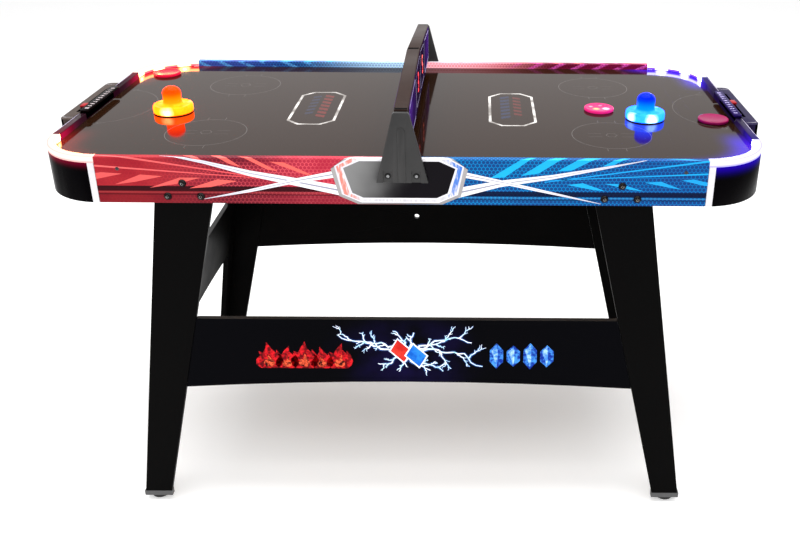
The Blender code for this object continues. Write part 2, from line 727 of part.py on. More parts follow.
# ---------------------------------------------------------------- blower and power
def make_blower():
    """An axial blower under the air chamber: a square frame with a motor boss on four arms, and its impeller."""
    top = PLENUM_BASE_TOP - PLENUM_BASE_THICKNESS - GAP
    bottom = top - FAN_DEPTH
    frame_edge = rounded_rectangle(FAN_HALF_SIDE, FAN_HALF_SIDE, 0.006, 3)
    bore = arc((0, 0), FAN_BORE, 0, 350, 35)
    housing = slab("blower_housing", [frame_edge, bore], "XY", bottom, top, BLACK_PLASTIC)
    arm = FAN_BORE + 0.0015
    spokes = [
        rod("fan_motor_boss", 0.019, (0, 0, bottom + 0.0002), (0, 0, bottom + 0.0037), segments=24),
        block("fan_arm_x", (-arm, -0.0030, bottom + 0.0006), (arm, 0.0030, bottom + 0.0030)),
        block("fan_arm_y", (-0.0034, -arm, bottom + 0.0008), (0.0034, arm, bottom + 0.0033)),
    ]
    for spoke in spokes:
        combine(housing, spoke, "UNION", "MANIFOLD")
    hub_bottom = bottom + 0.0042
    hub_top = top - 0.0040
    hub = [(0, hub_top), (0.0175, hub_top), (0.0195, hub_top - 0.002), (0.0195, hub_bottom), (0, hub_bottom)]
    impeller = turned("blower_impeller", hub, BLACK_PLASTIC, segments=21)
    for number in range(FAN_BLADES):
        blade = block(f"fan_blade_{number}", (0.017, -0.0125, -0.0008), (0.0545, 0.0125, 0.0008))
        pitch = Matrix.Rotation(math.radians(32), 4, "X")
        turn = Matrix.Rotation(2 * math.pi * number / FAN_BLADES, 4, "Z")
        lift = Matrix.Translation((0, 0, (hub_bottom + hub_top) / 2))
        blade.data.transform(lift @ turn @ pitch)
        join(impeller, blade)


def make_power_panel():
    """The low-voltage inlet and the rocker switch, in one moulding under the air chamber."""
    x, y = POWER_PANEL_CENTRE
    top = PLENUM_BASE_TOP - PLENUM_BASE_THICKNESS - GAP
    bottom = top - 0.018
    panel = block("power_inlet", (x - 0.030, y - 0.015, bottom), (x + 0.030, y + 0.015, top), BLACK_PLASTIC, 0.001)
    jack_x = x + 0.015
    jack = rod("jack_bore", 0.0045, (jack_x, y, bottom - 0.01), (jack_x, y, bottom + 0.012), segments=16)
    switch_x = x - 0.012
    well = block(
        "switch_well",
        (switch_x - 0.0063, y - 0.0102, bottom - 0.01),
        (switch_x + 0.0063, y + 0.0102, bottom + 0.0125),
    )
    cut(panel, jack, well)
    pivot = (switch_x, y, bottom + 0.0045)
    faces = [(-0.0092, -0.0050), (0, -0.0035), (0.0092, -0.0050), (0.0088, 0.0030), (-0.0088, 0.0030)]
    rocker = slab("power_switch", [faces], "YZ", -0.0058, 0.0058, BLACK_PLASTIC)
    rocker.data.transform(Matrix.Rotation(math.radians(8), 4, "X"))
    rocker.location = pivot


# ---------------------------------------------------------------- pushers and pucks
def make_pushers():
    """Each pusher is a wide flanged base with a rounded grip, hollow from below."""
    dome = 0.0150
    profile = [(0, PUSHER_HEIGHT)]
    for step in range(1, 6):
        angle = math.radians(90 - 18 * step)
        profile.append((PUSHER_GRIP_RADIUS * math.cos(angle), PUSHER_HEIGHT - dome + dome * math.sin(angle)))
    profile += [
        (PUSHER_GRIP_RADIUS - 0.0007, 0.0270),
        (PUSHER_GRIP_RADIUS + 0.0010, PUSHER_BASE_HEIGHT + 0.0025),
        (PUSHER_GRIP_RADIUS + 0.0050, PUSHER_BASE_HEIGHT - 0.0010),
        (PUSHER_RADIUS - 0.0090, PUSHER_BASE_HEIGHT - 0.0012),
        (PUSHER_RADIUS - 0.0038, PUSHER_BASE_HEIGHT),
        (PUSHER_RADIUS - 0.0010, PUSHER_BASE_HEIGHT - 0.0022),
        (PUSHER_RADIUS, PUSHER_BASE_HEIGHT - 0.0055),
        (PUSHER_RADIUS, 0.0020),
        (PUSHER_RADIUS - 0.0015, 0),
        (0.0340, 0),
        (0.0330, 0.0110),
        (0, 0.0110),
    ]
    finishes = {"left": AMBER_PLASTIC, "right": CYAN_PLASTIC}
    for side, (x, y) in PUSHER_PLACES.items():
        pusher = turned(f"pusher_{side}", profile, finishes[side], (x, y, PLAYFIELD_TOP + GAP), segments=26)
        smooth(pusher)


def make_pucks():
    edge = 0.0012
    profile = [
        (0, PUCK_THICKNESS),
        (PUCK_RADIUS - edge, PUCK_THICKNESS),
        (PUCK_RADIUS, PUCK_THICKNESS - edge),
        (PUCK_RADIUS, edge),
        (PUCK_RADIUS - edge, 0),
        (0, 0),
    ]
    for name, (x, y) in PUCK_PLACES.items():
        smooth(turned(f"puck_{name}", profile, PINK_PLASTIC, (x, y, PLAYFIELD_TOP + GAP), segments=32))


# ---------------------------------------------------------------- assembly
clear_scene()
parts = new_collection("air_hockey_table")
cutters = new_collection("cutters")
cutters.hide_render = True

bolt_holes = make_bolt_holes()
make_playfield()
make_air_chamber()
make_aprons()
make_end_rails()
make_corners()
make_goals()
make_bridge()
for leg_end, leg_sign_y in ENDS.items():
    for leg_side, leg_sign_x in SIDES.items():
        make_leg(leg_end, leg_side, leg_sign_x, leg_sign_y)
make_stretchers()
make_blower()
make_power_panel()
make_pushers()
make_pucks()
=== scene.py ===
"""The looks of a floor-standing air hockey table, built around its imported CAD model. Metres, +Z up.

+X runs along the table and +Y to its rear. The rear half of whatever is printed is the front half turned
about +Z.
"""

import json
import math
import random

import bmesh
import bpy
from mathutils import Matrix, Vector

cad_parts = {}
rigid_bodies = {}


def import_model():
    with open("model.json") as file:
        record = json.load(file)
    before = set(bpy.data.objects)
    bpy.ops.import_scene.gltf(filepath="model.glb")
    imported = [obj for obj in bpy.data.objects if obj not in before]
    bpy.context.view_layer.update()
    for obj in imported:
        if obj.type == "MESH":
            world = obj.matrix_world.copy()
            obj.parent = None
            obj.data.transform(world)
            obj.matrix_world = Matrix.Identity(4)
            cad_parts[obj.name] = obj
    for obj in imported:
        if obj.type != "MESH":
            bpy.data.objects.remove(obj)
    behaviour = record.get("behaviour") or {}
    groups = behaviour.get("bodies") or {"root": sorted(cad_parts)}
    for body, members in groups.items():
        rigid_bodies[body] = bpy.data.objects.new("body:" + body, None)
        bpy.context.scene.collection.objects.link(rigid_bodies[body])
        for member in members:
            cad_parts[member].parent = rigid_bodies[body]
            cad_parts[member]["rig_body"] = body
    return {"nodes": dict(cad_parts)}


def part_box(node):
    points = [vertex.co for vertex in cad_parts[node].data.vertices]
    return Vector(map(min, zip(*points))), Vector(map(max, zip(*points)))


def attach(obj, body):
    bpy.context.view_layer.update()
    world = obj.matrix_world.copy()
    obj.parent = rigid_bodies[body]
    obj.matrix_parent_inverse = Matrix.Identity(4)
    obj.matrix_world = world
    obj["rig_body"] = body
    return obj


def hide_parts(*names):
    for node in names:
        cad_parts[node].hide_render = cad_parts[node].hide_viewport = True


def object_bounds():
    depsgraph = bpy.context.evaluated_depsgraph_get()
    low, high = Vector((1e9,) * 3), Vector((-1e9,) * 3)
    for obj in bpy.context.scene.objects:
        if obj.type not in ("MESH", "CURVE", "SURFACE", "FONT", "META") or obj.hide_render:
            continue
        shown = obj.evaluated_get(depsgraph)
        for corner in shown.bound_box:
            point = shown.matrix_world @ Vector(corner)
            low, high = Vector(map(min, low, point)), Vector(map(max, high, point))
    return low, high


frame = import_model()
cad_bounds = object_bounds()

SIDES = {"left": -1, "right": 1}
ENDS = {"front": -1, "rear": 1}
CORNERS = [(end, side) for end in ENDS for side in SIDES]

field_low, field_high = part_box("playfield")
FIELD = field_high.z
apron_low, apron_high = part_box("apron_front")
RAIL = apron_high.z
APRON_FACE = apron_low.y
JOINT_X = apron_high.x
EDGE = 0.0015
GAP = 0.0003
CORNER_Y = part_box("end_rail_left")[1].y
INNER_RADIUS = 0.110
GOAL_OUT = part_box("goal_box_right")[1].x
HALF_TURN = Matrix.Rotation(math.pi, 4, "Z")
FILM_LIFT = 0.00008
BRIDGE_MIDDLE_TOP = 0.919
BRIDGE_END_TOP = 0.8935
BOLT_PLACES = ((0.4040, 0.7500), (0.4335, 0.7240), (0.3725, 0.7240))
BOLT_HEAD = 0.0047

CAMERA_PLACE = (0.1379, -1.9169, 1.387)
CAMERA_DOWN, CAMERA_ASIDE, CAMERA_TILT = (math.radians(angle) for angle in (23.97, 0.50, 0.60))
CAMERA_LENS = 41.39
CAMERA_SHIFT = (-0.1062, -0.0644)
FLOOR_DROP = 0.0002


# ---------------------------------------------------------------- camera, floor and light
def make_camera():
    pitch, yaw, roll = CAMERA_DOWN, CAMERA_ASIDE, CAMERA_TILT
    forward = Vector((math.sin(yaw) * math.cos(pitch), math.cos(yaw) * math.cos(pitch), -math.sin(pitch)))
    level = Vector((math.cos(yaw), -math.sin(yaw), 0))
    above = level.cross(forward)
    across = level * math.cos(roll) + above * math.sin(roll)
    up = above * math.cos(roll) - level * math.sin(roll)
    turn = Matrix((across, up, -forward)).transposed().to_4x4()
    data = bpy.data.cameras.new("camera")
    data.lens = CAMERA_LENS
    data.sensor_width = 36
    data.shift_x, data.shift_y = CAMERA_SHIFT
    data.clip_end = 200
    camera = bpy.data.objects.new("camera", data)
    camera.matrix_world = Matrix.Translation(CAMERA_PLACE) @ turn
    bpy.context.scene.collection.objects.link(camera)
    bpy.context.scene.camera = camera


def make_light(name, location, target, size, power, colour=(1, 1, 1)):
    data = bpy.data.lights.new(name, "AREA")
    data.shape = "RECTANGLE"
    data.size, data.size_y = size
    data.energy = power
    data.color = colour
    light = bpy.data.objects.new(name, data)
    light.location = location
    light.rotation_euler = (Vector(target) - Vector(location)).to_track_quat("-Z", "Y").to_euler()
    bpy.context.scene.collection.objects.link(light)


def make_studio():
    bpy.context.scene.view_settings.view_transform = "Standard"
    world = bpy.data.worlds.new("studio")
    bpy.context.scene.world = world
    world.use_nodes = True
    background = world.node_tree.nodes["Background"]
    background.inputs["Color"].default_value = (1.0, 1.0, 1.0, 1)
    background.inputs["Strength"].default_value = 0.98
    make_light("overhead", (0.0, 0.3, 2.9), (0, 0, 0), (3.2, 2.4), 105)
    floor = Surface("floor_paper", colour=(0.96, 0.96, 0.96), roughness=0.8, specular=0.1)
    paper = floor.noise(3.0, 2)
    floor.link("Base Color", floor.mix(paper, (0.93, 0.93, 0.93), (0.94, 0.94, 0.94)))
    # Painted light: the floor glows, most in front of the table, fading out towards the rear.
    floor.glow((1.0, 1.0, 1.0), floor.ramp(floor.position()[2], -0.36, 0.10, 0.38, 0.03))
    bm = bmesh.new()
    bmesh.ops.create_grid(bm, x_segments=1, y_segments=1, size=40)
    piece = new_object("floor", bm, floor)
    piece.location.z = cad_bounds[0][2] - FLOOR_DROP


# ---------------------------------------------------------------- materials
def tone(red, green, blue):
    """A colour given as it looks on a screen, 0 to 255, as linear light."""

    def linear(value):
        value /= 255
        return value / 12.92 if value <= 0.04045 else ((value + 0.055) / 1.055) ** 2.4

    return (linear(red), linear(green), linear(blue))


def scaled(colour, factor):
    return tuple(factor * value for value in colour)


class Surface:
    """One procedural material. Sockets and numbers can both be given as inputs."""

    def __init__(self, name, colour=(0.5, 0.5, 0.5), roughness=0.5, specular=0.5, metallic=0.0):
        self.material = bpy.data.materials.new(name)
        self.material.use_nodes = True
        self.tree = self.material.node_tree
        self.shader = self.tree.nodes["Principled BSDF"]
        self.shader.inputs["Base Color"].default_value = (*colour, 1)
        self.shader.inputs["Roughness"].default_value = roughness
        self.shader.inputs["Specular IOR Level"].default_value = specular
        self.shader.inputs["Metallic"].default_value = metallic
        self.coordinates = None

    def set(self, socket, value):
        if isinstance(value, bpy.types.NodeSocket):
            self.tree.links.new(value, socket)
        elif isinstance(value, tuple) and len(socket.default_value) == 4:
            socket.default_value = (*value, 1)
        else:
            socket.default_value = value

    def node(self, kind, inputs=(), **settings):
        made = self.tree.nodes.new("ShaderNode" + kind)
        for key, value in settings.items():
            setattr(made, key, value)
        for socket, value in dict(inputs).items():
            self.set(made.inputs[socket], value)
        return made

    def link(self, socket, value):
        self.set(self.shader.inputs[socket], value)

    def glow(self, colour, strength=1.0):
        self.link("Emission Color", colour)
        self.link("Emission Strength", strength)

    def math(self, operation, *values, clamp=False):
        inputs = {index: value for index, value in enumerate(values)}
        return self.node("Math", inputs, operation=operation, use_clamp=clamp).outputs[0]

    def add(self, *values):
        total = values[0]
        for value in values[1:]:
            total = self.math("ADD", total, value)
        return total

    def times(self, *values):
        total = values[0]
        for value in values[1:]:
            total = self.math("MULTIPLY", total, value)
        return total

    def absolute(self, value):
        return self.math("ABSOLUTE", value)

    def inverse(self, value):
        """1 where the value is 0, and 0 where it is 1."""
        return self.math("SUBTRACT", 1.0, value)

    def length(self, a, b):
        """How far (a, b) is from (0, 0)."""
        return self.math("SQRT", self.add(self.times(a, a), self.times(b, b)))

    def along_apron(self):
        """How far to the right a point of an apron is, for someone who faces that apron."""
        _, x, y, _ = self.position()
        return self.times(x, self.math("MULTIPLY", self.math("SIGN", y), -1.0))

    def position(self):
        """The point itself, then its x, y and z."""
        if not self.coordinates:
            place = self.node("TexCoord").outputs["Object"]
            split = self.node("SeparateXYZ", {0: place})
            self.coordinates = (place, split.outputs[0], split.outputs[1], split.outputs[2])
        return self.coordinates

    def noise(self, scale, detail=3, stretch=(1, 1, 1), roughness=0.5):
        place = self.position()[0]
        if stretch != (1, 1, 1):
            place = self.node("VectorMath", {0: place, 1: stretch}, operation="MULTIPLY").outputs[0]
        inputs = {"Vector": place, "Scale": scale, "Detail": detail, "Roughness": roughness}
        return self.node("TexNoise", inputs).outputs["Fac"]

    def ramp(self, value, low, high, to_low=0.0, to_high=1.0):
        """A smooth change from to_low to to_high as the value goes from low to high."""
        inputs = {0: value, 1: low, 2: high, 3: to_low, 4: to_high}
        return self.node("MapRange", inputs, interpolation_type="SMOOTHSTEP").outputs[0]

    def mix(self, share, first, second):
        made = self.node("Mix", data_type="RGBA")
        self.set(made.inputs[0], share)
        self.set(made.inputs[6], first)
        self.set(made.inputs[7], second)
        return made.outputs[2]

    def bump(self, height, distance, strength=1.0):
        inputs = {"Height": height, "Distance": distance, "Strength": strength}
        self.link("Normal", self.node("Bump", inputs).outputs[0])

    def grain(self, scale, distance, strength=0.5):
        """A fine moulded or sprayed texture."""
        self.bump(self.noise(scale, 2), distance, strength)

    def vary_roughness(self, low, high, scale=9.0):
        self.link("Roughness", self.ramp(self.noise(scale, 4), 0.3, 0.7, low, high))

    def band(self, value, middle, half_width, soft):
        """1 within half_width of the middle, falling to 0 over the soft edge."""
        away = self.absolute(self.math("SUBTRACT", value, middle))
        return self.ramp(away, half_width, half_width + soft, 1.0, 0.0)

    def honeycomb(self, along, up, pitch):
        """How far a point is from the middle of its hexagon: 0 in the middle and 1 on the edge."""
        row = math.sqrt(3)
        u = self.math("DIVIDE", along, pitch)
        v = self.math("DIVIDE", up, pitch)
        near = []
        for shift in (0.0, 0.5):
            a = self.math("SUBTRACT", self.math("FLOORED_MODULO", self.add(u, shift), 1.0), 0.5)
            b = self.math("SUBTRACT", self.math("FLOORED_MODULO", self.add(v, shift * row), row), row / 2)
            far = self.add(self.times(a, a), self.times(b, b))
            across = self.absolute(a)
            slant = self.add(self.times(across, 0.5), self.times(self.absolute(b), row / 2))
            near.append((far, self.math("MAXIMUM", across, slant)))
        first = self.math("LESS_THAN", near[0][0], near[1][0])
        second = self.inverse(first)
        return self.times(self.add(self.times(first, near[0][1]), self.times(second, near[1][1])), 2.0)


def black_laminate():
    finish = Surface("black_laminate", tone(6, 6, 6), specular=0.02)
    finish.vary_roughness(0.34, 0.46)
    speck = finish.noise(260, 3)
    finish.link("Base Color", finish.mix(speck, tone(2, 2, 2), tone(9, 8, 8)))
    finish.grain(900, 0.00004)
    return finish


def edge_band():
    # Painted highlight: a lighter laminate, only on the boards' upward faces, for the sheen that light from
    # above puts on their top edges.
    finish = Surface("laminate_top_painted_sheen", tone(22, 22, 24), specular=0.35)
    finish.vary_roughness(0.30, 0.42)
    finish.link("Base Color", finish.mix(finish.noise(300, 3, (1, 8, 1)), tone(10, 10, 11), tone(30, 29, 31)))
    finish.grain(700, 0.00003)
    return finish


def moulded(name, dark, light, roughness=(0.38, 0.5), specular=0.5, grain=1400):
    finish = Surface(name, dark, specular=specular)
    finish.vary_roughness(*roughness)
    finish.link("Base Color", finish.mix(finish.noise(40, 4), dark, light))
    finish.grain(grain, 0.00005)
    return finish


def raw_board():
    finish = Surface("raw_fibreboard", tone(150, 118, 84), specular=0.2)
    finish.vary_roughness(0.7, 0.85)
    fibres = finish.noise(420, 5, (1, 3, 1))
    patches = finish.noise(14, 3)
    colour = finish.mix(fibres, tone(128, 98, 68), tone(176, 142, 104))
    finish.link("Base Color", finish.mix(finish.times(patches, 0.35), colour, tone(110, 84, 60)))
    finish.bump(fibres, 0.0002, 0.4)
    return finish


# ---------------------------------------------------------------- mesh helpers
def new_object(name, bm, *surfaces):
    mesh = bpy.data.meshes.new(name)
    bm.to_mesh(mesh)
    bm.free()
    for surface in surfaces:
        mesh.materials.append(surface.material)
    obj = bpy.data.objects.new(name, mesh)
    bpy.context.scene.collection.objects.link(obj)
    return obj


def place(obj, body, slot):
    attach(obj, body)
    return obj


def body_of(node):
    return frame["nodes"][node]["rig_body"]


def dress(node, surface, *more):
    """Gives a CAD node its material, and keeps its shape."""
    data = frame["nodes"][node].data
    data.materials.clear()
    for each in (surface, *more):
        data.materials.append(each.material)


def soften(node, slot, width, *surfaces, choose=None, segments=2):
    """A copy of a CAD node with rounded edges, in its place. choose gives each face's material index."""
    source = frame["nodes"][node]
    bm = bmesh.new()
    bm.from_mesh(source.data)
    bmesh.ops.remove_doubles(bm, verts=bm.verts, dist=0.00002)
    flat = math.radians(0.5)
    bmesh.ops.dissolve_limit(bm, angle_limit=flat, verts=bm.verts, edges=bm.edges)
    bmesh.ops.triangulate(bm, faces=[face for face in bm.faces if len(face.verts) > 4],
                          ngon_method="EAR_CLIP")
    for face in bm.faces:
        face.smooth = True
        face.material_index = choose(face) if choose else 0
    obj = new_object(node + "_finished", bm, *surfaces)
    edge = obj.modifiers.new("Rounded edges", "BEVEL")
    edge.width = width
    edge.segments = segments
    edge.limit_method = "ANGLE"
    edge.angle_limit = math.radians(28)
    edge.harden_normals = True
    edge.use_clamp_overlap = True
    obj.data.set_sharp_from_angle(angle=math.radians(50))
    place(obj, body_of(node), slot)
    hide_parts(node)
    return obj


def lathe(name, profile, surface, location=(0, 0, 0), segments=64, sharp=40):
    """A turned piece from a list of (radius, height), top to bottom."""
    bm = bmesh.new()
    verts = [bm.verts.new((radius, 0, height)) for radius, height in profile]
    for first, second in zip(verts, verts[1:]):
        bm.edges.new((first, second))
    bmesh.ops.spin(
        bm,
        geom=[*bm.verts, *bm.edges],
        cent=(0, 0, 0),
        axis=(0, 0, 1),
        angle=2 * math.pi,
        steps=segments,
        use_merge=True,
        use_duplicate=False,
    )
    bmesh.ops.remove_doubles(bm, verts=bm.verts, dist=0.00001)
    bmesh.ops.recalc_face_normals(bm, faces=bm.faces)
    for face in bm.faces:
        face.smooth = True
    obj = new_object(name, bm, surface)
    obj.location = location
    obj.data.set_sharp_from_angle(angle=math.radians(sharp))
    return obj


def flat_shapes(bm, outlines):
    """Adds flat polygons, each a list of (u, v), to a mesh that lies in XY. All of them face up."""
    for outline in outlines:
        face = bm.faces.new([bm.verts.new((u, v, 0)) for u, v in outline])
        face.normal_update()
        if face.normal.z < 0:
            face.normal_flip()


def flat_piece(name, outlines, surface, matrix, slot):
    """Flat shapes as one piece of the table, moved into place by the matrix."""
    bm = bmesh.new()
    flat_shapes(bm, outlines)
    bm.transform(matrix)
    place(new_object(name, bm, surface), "table", slot)


def underside(node):
    """The middle of a CAD node's underside."""
    low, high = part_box(node)
    return ((low.x + high.x) / 2, (low.y + high.y) / 2, low.z)


def ribbon(points, widths):
    """The outlines of a flat strip along these points, with a width at each."""
    sides = []
    for index, (u, v) in enumerate(points):
        before = points[max(index - 1, 0)]
        after = points[min(index + 1, len(points) - 1)]
        run = Vector((after[0] - before[0], after[1] - before[1])).normalized()
        half = widths[index] / 2
        sides.append(((u - run.y * half, v + run.x * half), (u + run.y * half, v - run.x * half)))
    return [[a, b, d, c] for (a, b), (c, d) in zip(sides, sides[1:])]


def ring(outer, inner):
    """The outlines of a frame between two outlines with as many corners."""
    following = zip(outer, outer[1:] + outer[:1], inner[1:] + inner[:1], inner)
    return [list(corners) for corners in following]


def circle(centre, radius, count=64):
    turns = [2 * math.pi * step / count for step in range(count)]
    return [(centre[0] + radius * math.cos(turn), centre[1] + radius * math.sin(turn)) for turn in turns]


# ---------------------------------------------------------------- printed aprons
PRINT_STEP = 0.00006


def wrap_print(u, v, lift):
    """Where a print's point (u along the apron, v up it and over onto the rail's top) lies in space."""
    bend = EDGE * math.pi / 2
    start = RAIL - EDGE
    if v <= start:
        return Vector((u, APRON_FACE - lift, v))
    if v < start + bend:
        angle = (v - start) / EDGE
        out = EDGE + lift
        return Vector((u, APRON_FACE + EDGE - out * math.cos(angle), start + out * math.sin(angle)))
    return Vector((u, APRON_FACE + EDGE + (v - start - bend), RAIL + lift))


def apron_print(name, outlines, layer, surface):
    """A printed layer on the front apron, folded over its top edge, and its turned copy on the rear one."""
    for end in ENDS:
        bm = bmesh.new()
        flat_shapes(bm, outlines)
        bend = EDGE * math.pi / 2
        for step in range(4):
            level = RAIL - EDGE + bend * step / 3
            geometry = [*bm.verts, *bm.edges, *bm.faces]
            bmesh.ops.bisect_plane(bm, geom=geometry, plane_co=(0, level, 0), plane_no=(0, 1, 0))
        lift = 0.00005 + PRINT_STEP * layer
        for vert in bm.verts:
            vert.co = wrap_print(vert.co.x, vert.co.y, lift)
        if end == "rear":
            bm.transform(HALF_TURN)
        place(new_object(f"{name}_{end}", bm, surface), "table", "apron_decal")


def apron_base():
    """Crimson to blue, each with a honeycomb, a dark band and thin lines. It is turned on the rear apron."""
    finish = Surface("apron_film", specular=0.06, roughness=0.3)
    _, _, y, z = finish.position()
    u = finish.along_apron()
    v = finish.add(z, finish.math("SUBTRACT", -APRON_FACE, finish.absolute(y)))
    blue_side = finish.ramp(u, -0.012, 0.012)

    def both(on_red, on_blue):
        """One colour on the crimson side and one on the blue side."""
        return finish.mix(blue_side, on_red, on_blue)

    away = finish.absolute(u)
    outer = finish.ramp(away, 0.16, 0.50)
    cells = finish.honeycomb(u, v, 0.0074)
    cell = finish.ramp(cells, 0.80, 0.93, 1.0, 0.0)
    patches = finish.noise(16, 3, (1, 1, 2.5))
    red = finish.mix(outer, tone(234, 92, 104), tone(176, 40, 48))
    red = finish.mix(finish.times(finish.ramp(patches, 0.42, 0.7), 0.5), red, tone(148, 18, 38))
    blue = finish.mix(outer, tone(0, 146, 216), tone(0, 122, 196))
    blue = finish.mix(finish.times(finish.ramp(patches, 0.42, 0.7), 0.45), blue, tone(30, 92, 165))
    film = both(red, blue)
    dark_red = finish.mix(finish.ramp(away, 0.14, 0.34), tone(176, 34, 60), tone(92, 8, 34))
    dark = both(dark_red, tone(20, 44, 110))
    strength_red = finish.ramp(away, 0.30, 0.50, 0.85, 0.16)
    strength = finish.add(
        finish.times(strength_red, finish.inverse(blue_side)), finish.times(blue_side, 0.85)
    )
    film = finish.mix(finish.times(cell, strength), film, dark)
    shade_red = finish.times(finish.ramp(v, 0.782, 0.802), finish.ramp(u, -0.46, -0.36))
    shade_red = finish.times(shade_red, finish.ramp(u, -0.30, -0.18, 1.0, 0.0))
    film = finish.mix(finish.times(shade_red, 0.55), film, tone(66, 10, 30))
    centre = finish.ramp(u, -0.02, 0.02, 0.7393, 0.7325)
    band = finish.band(v, centre, 0.0045, 0.0010)
    thin_line = finish.band(v, finish.add(centre, -0.0115), 0.0007, 0.0004)
    pale_line = finish.band(v, finish.add(centre, -0.0075), 0.0006, 0.0004)
    deep = both(tone(30, 4, 10), tone(4, 10, 44))
    pale = both(tone(236, 96, 92), tone(70, 170, 226))
    film = finish.mix(finish.times(pale_line, 0.55), film, pale)
    film = finish.mix(finish.times(thin_line, 0.8), film, deep)
    film = finish.mix(finish.times(band, 0.95), film, deep)
    low = finish.ramp(v, finish.add(centre, 0.001), finish.add(centre, -0.001))
    film = finish.mix(finish.times(low, finish.inverse(blue_side), 0.45), film, tone(60, 4, 14))
    # Painted light on the rear apron's top and inner face: a glow over all of it, a painted highlight that
    # whitens it near the bridge, painted shade that deepens it towards the ends, and the printed slanted
    # shards brightened with more painted glow.
    rear = finish.math("GREATER_THAN", y, 0.0)
    inside = finish.times(rear, finish.ramp(v, 0.785, 0.790))
    lit = finish.times(inside, finish.ramp(away, 0.34, 0.05))
    painted_shade_ends = finish.times(inside, finish.ramp(away, 0.24, 0.50))
    slant = finish.math("FLOORED_MODULO", finish.add(away, finish.times(v, -2.2)), 0.054)
    shard = finish.times(finish.ramp(slant, 0.004, 0.006), finish.ramp(slant, 0.018, 0.026, 1.0, 0.0))
    broken = finish.ramp(finish.noise(30, 2), 0.36, 0.50)
    shard = finish.times(shard, inside, broken, finish.ramp(away, 0.18, 0.30))
    film = finish.mix(finish.times(painted_shade_ends, 0.75), film, both(tone(112, 0, 70), tone(74, 92, 196)))
    film = finish.mix(finish.times(lit, 0.90), film, both(tone(250, 196, 206), tone(196, 232, 250)))
    film = finish.mix(finish.times(shard, 0.8), film, both(tone(232, 90, 190), tone(96, 176, 240)))
    film = finish.mix(finish.times(inside, cell, 0.55), film, dark)
    finish.glow(film, finish.times(inside, finish.add(0.16, finish.times(lit, 0.75),
                                                      finish.times(shard, 0.2))))
    finish.link("Base Color", film)
    finish.vary_roughness(0.24, 0.34, 30)
    finish.grain(700, 0.00003, 0.3)
    return finish


def printed(name, first, second, low, high, axis="x", roughness=0.28, specular=0.2):
    """A print that changes from one colour to another along x, or z, with a little unevenness."""
    finish = Surface(name, first, roughness=roughness, specular=specular)
    _, x, _, z = finish.position()
    value = finish.absolute(x) if axis == "x" else z
    share = finish.add(finish.ramp(value, low, high),
                       finish.times(finish.add(finish.noise(60, 3), -0.5), 0.25))
    finish.link("Base Color", finish.mix(finish.math("ADD", share, 0.0, clamp=True), first, second))
    finish.grain(700, 0.00003, 0.3)
    return finish


def make_aprons():
    film = apron_base()
    for end in ENDS:
        dress(f"apron_{end}", film)
    make_blades()
    make_swooshes()
    make_medallion()
    make_apron_screws()


def make_blades():
    """Slanted shards in both colours, in a low and a high row, and two long lines on each side."""
    low_red = [
        [(-0.560, 0.757), (-0.511, 0.768), (-0.549, 0.7705), (-0.560, 0.769)],
        [(-0.528, 0.7465), (-0.490, 0.752), (-0.438, 0.7635), (-0.479, 0.7665)],
        [(-0.465, 0.7405), (-0.415, 0.7485), (-0.370, 0.761), (-0.408, 0.761)],
        [(-0.392, 0.740), (-0.352, 0.743), (-0.303, 0.755), (-0.339, 0.758)],
    ]
    high_red = [
        [(-0.401, 0.8105), (-0.375, 0.7955), (-0.362, 0.794), (-0.384, 0.8105)],
        [(-0.351, 0.8105), (-0.315, 0.789), (-0.293, 0.782), (-0.332, 0.8105)],
        [(-0.300, 0.8075), (-0.246, 0.778), (-0.227, 0.775), (-0.281, 0.8050)],
        [(-0.241, 0.7935), (-0.179, 0.769), (-0.162, 0.7665), (-0.215, 0.7920)],
    ]
    low_blue = [
        [(0.302, 0.752), (0.352, 0.742), (0.372, 0.7405), (0.331, 0.7555)],
        [(0.371, 0.7545), (0.420, 0.743), (0.443, 0.7405), (0.400, 0.7545)],
        [(0.444, 0.7575), (0.490, 0.748), (0.514, 0.744), (0.475, 0.7595)],
        [(0.512, 0.7625), (0.550, 0.753), (0.5605, 0.7515), (0.5605, 0.7580), (0.535, 0.7645)],
    ]
    high_blue = [
        [(0.160, 0.764), (0.187, 0.766), (0.246, 0.8105), (0.232, 0.8105)],
        [(0.217, 0.769), (0.249, 0.774), (0.303, 0.8105), (0.279, 0.8105)],
        [(0.284, 0.779), (0.310, 0.7805), (0.366, 0.8105), (0.336, 0.8105)],
        [(0.364, 0.788), (0.385, 0.791), (0.418, 0.8105), (0.403, 0.8105)],
        [(0.476, 0.8105), (0.520, 0.8105), (0.548, 0.8025), (0.534, 0.8025)],
    ]
    red_lines = ribbon([(-0.5600, 0.8090), (-0.2600, 0.7622)], [0.0042, 0.0016])
    red_lines += ribbon([(-0.5600, 0.7832), (-0.2600, 0.7610)], [0.0034, 0.0012])
    blue_lines = ribbon([(0.5600, 0.8000), (0.2600, 0.7565)], [0.0036, 0.0014])
    blue_lines += ribbon([(0.5600, 0.7752), (0.2600, 0.7600)], [0.0030, 0.0010])
    salmon = printed("salmon_print", tone(252, 100, 92), tone(226, 84, 84), 0.25, 0.56)
    cyan = printed("cyan_print", tone(0, 176, 244), tone(0, 158, 228), 0.25, 0.56)
    pink = printed("pink_print", tone(244, 84, 90), tone(240, 100, 100), 0.25, 0.56)
    sky = printed("sky_print", tone(0, 160, 236), tone(0, 166, 234), 0.25, 0.56)
    apron_print("red_shards", low_red + high_red, 1, salmon)
    apron_print("blue_shards", low_blue + high_blue, 1, cyan)
    apron_print("red_lines", red_lines, 2, pink)
    apron_print("blue_lines", blue_lines, 2, sky)


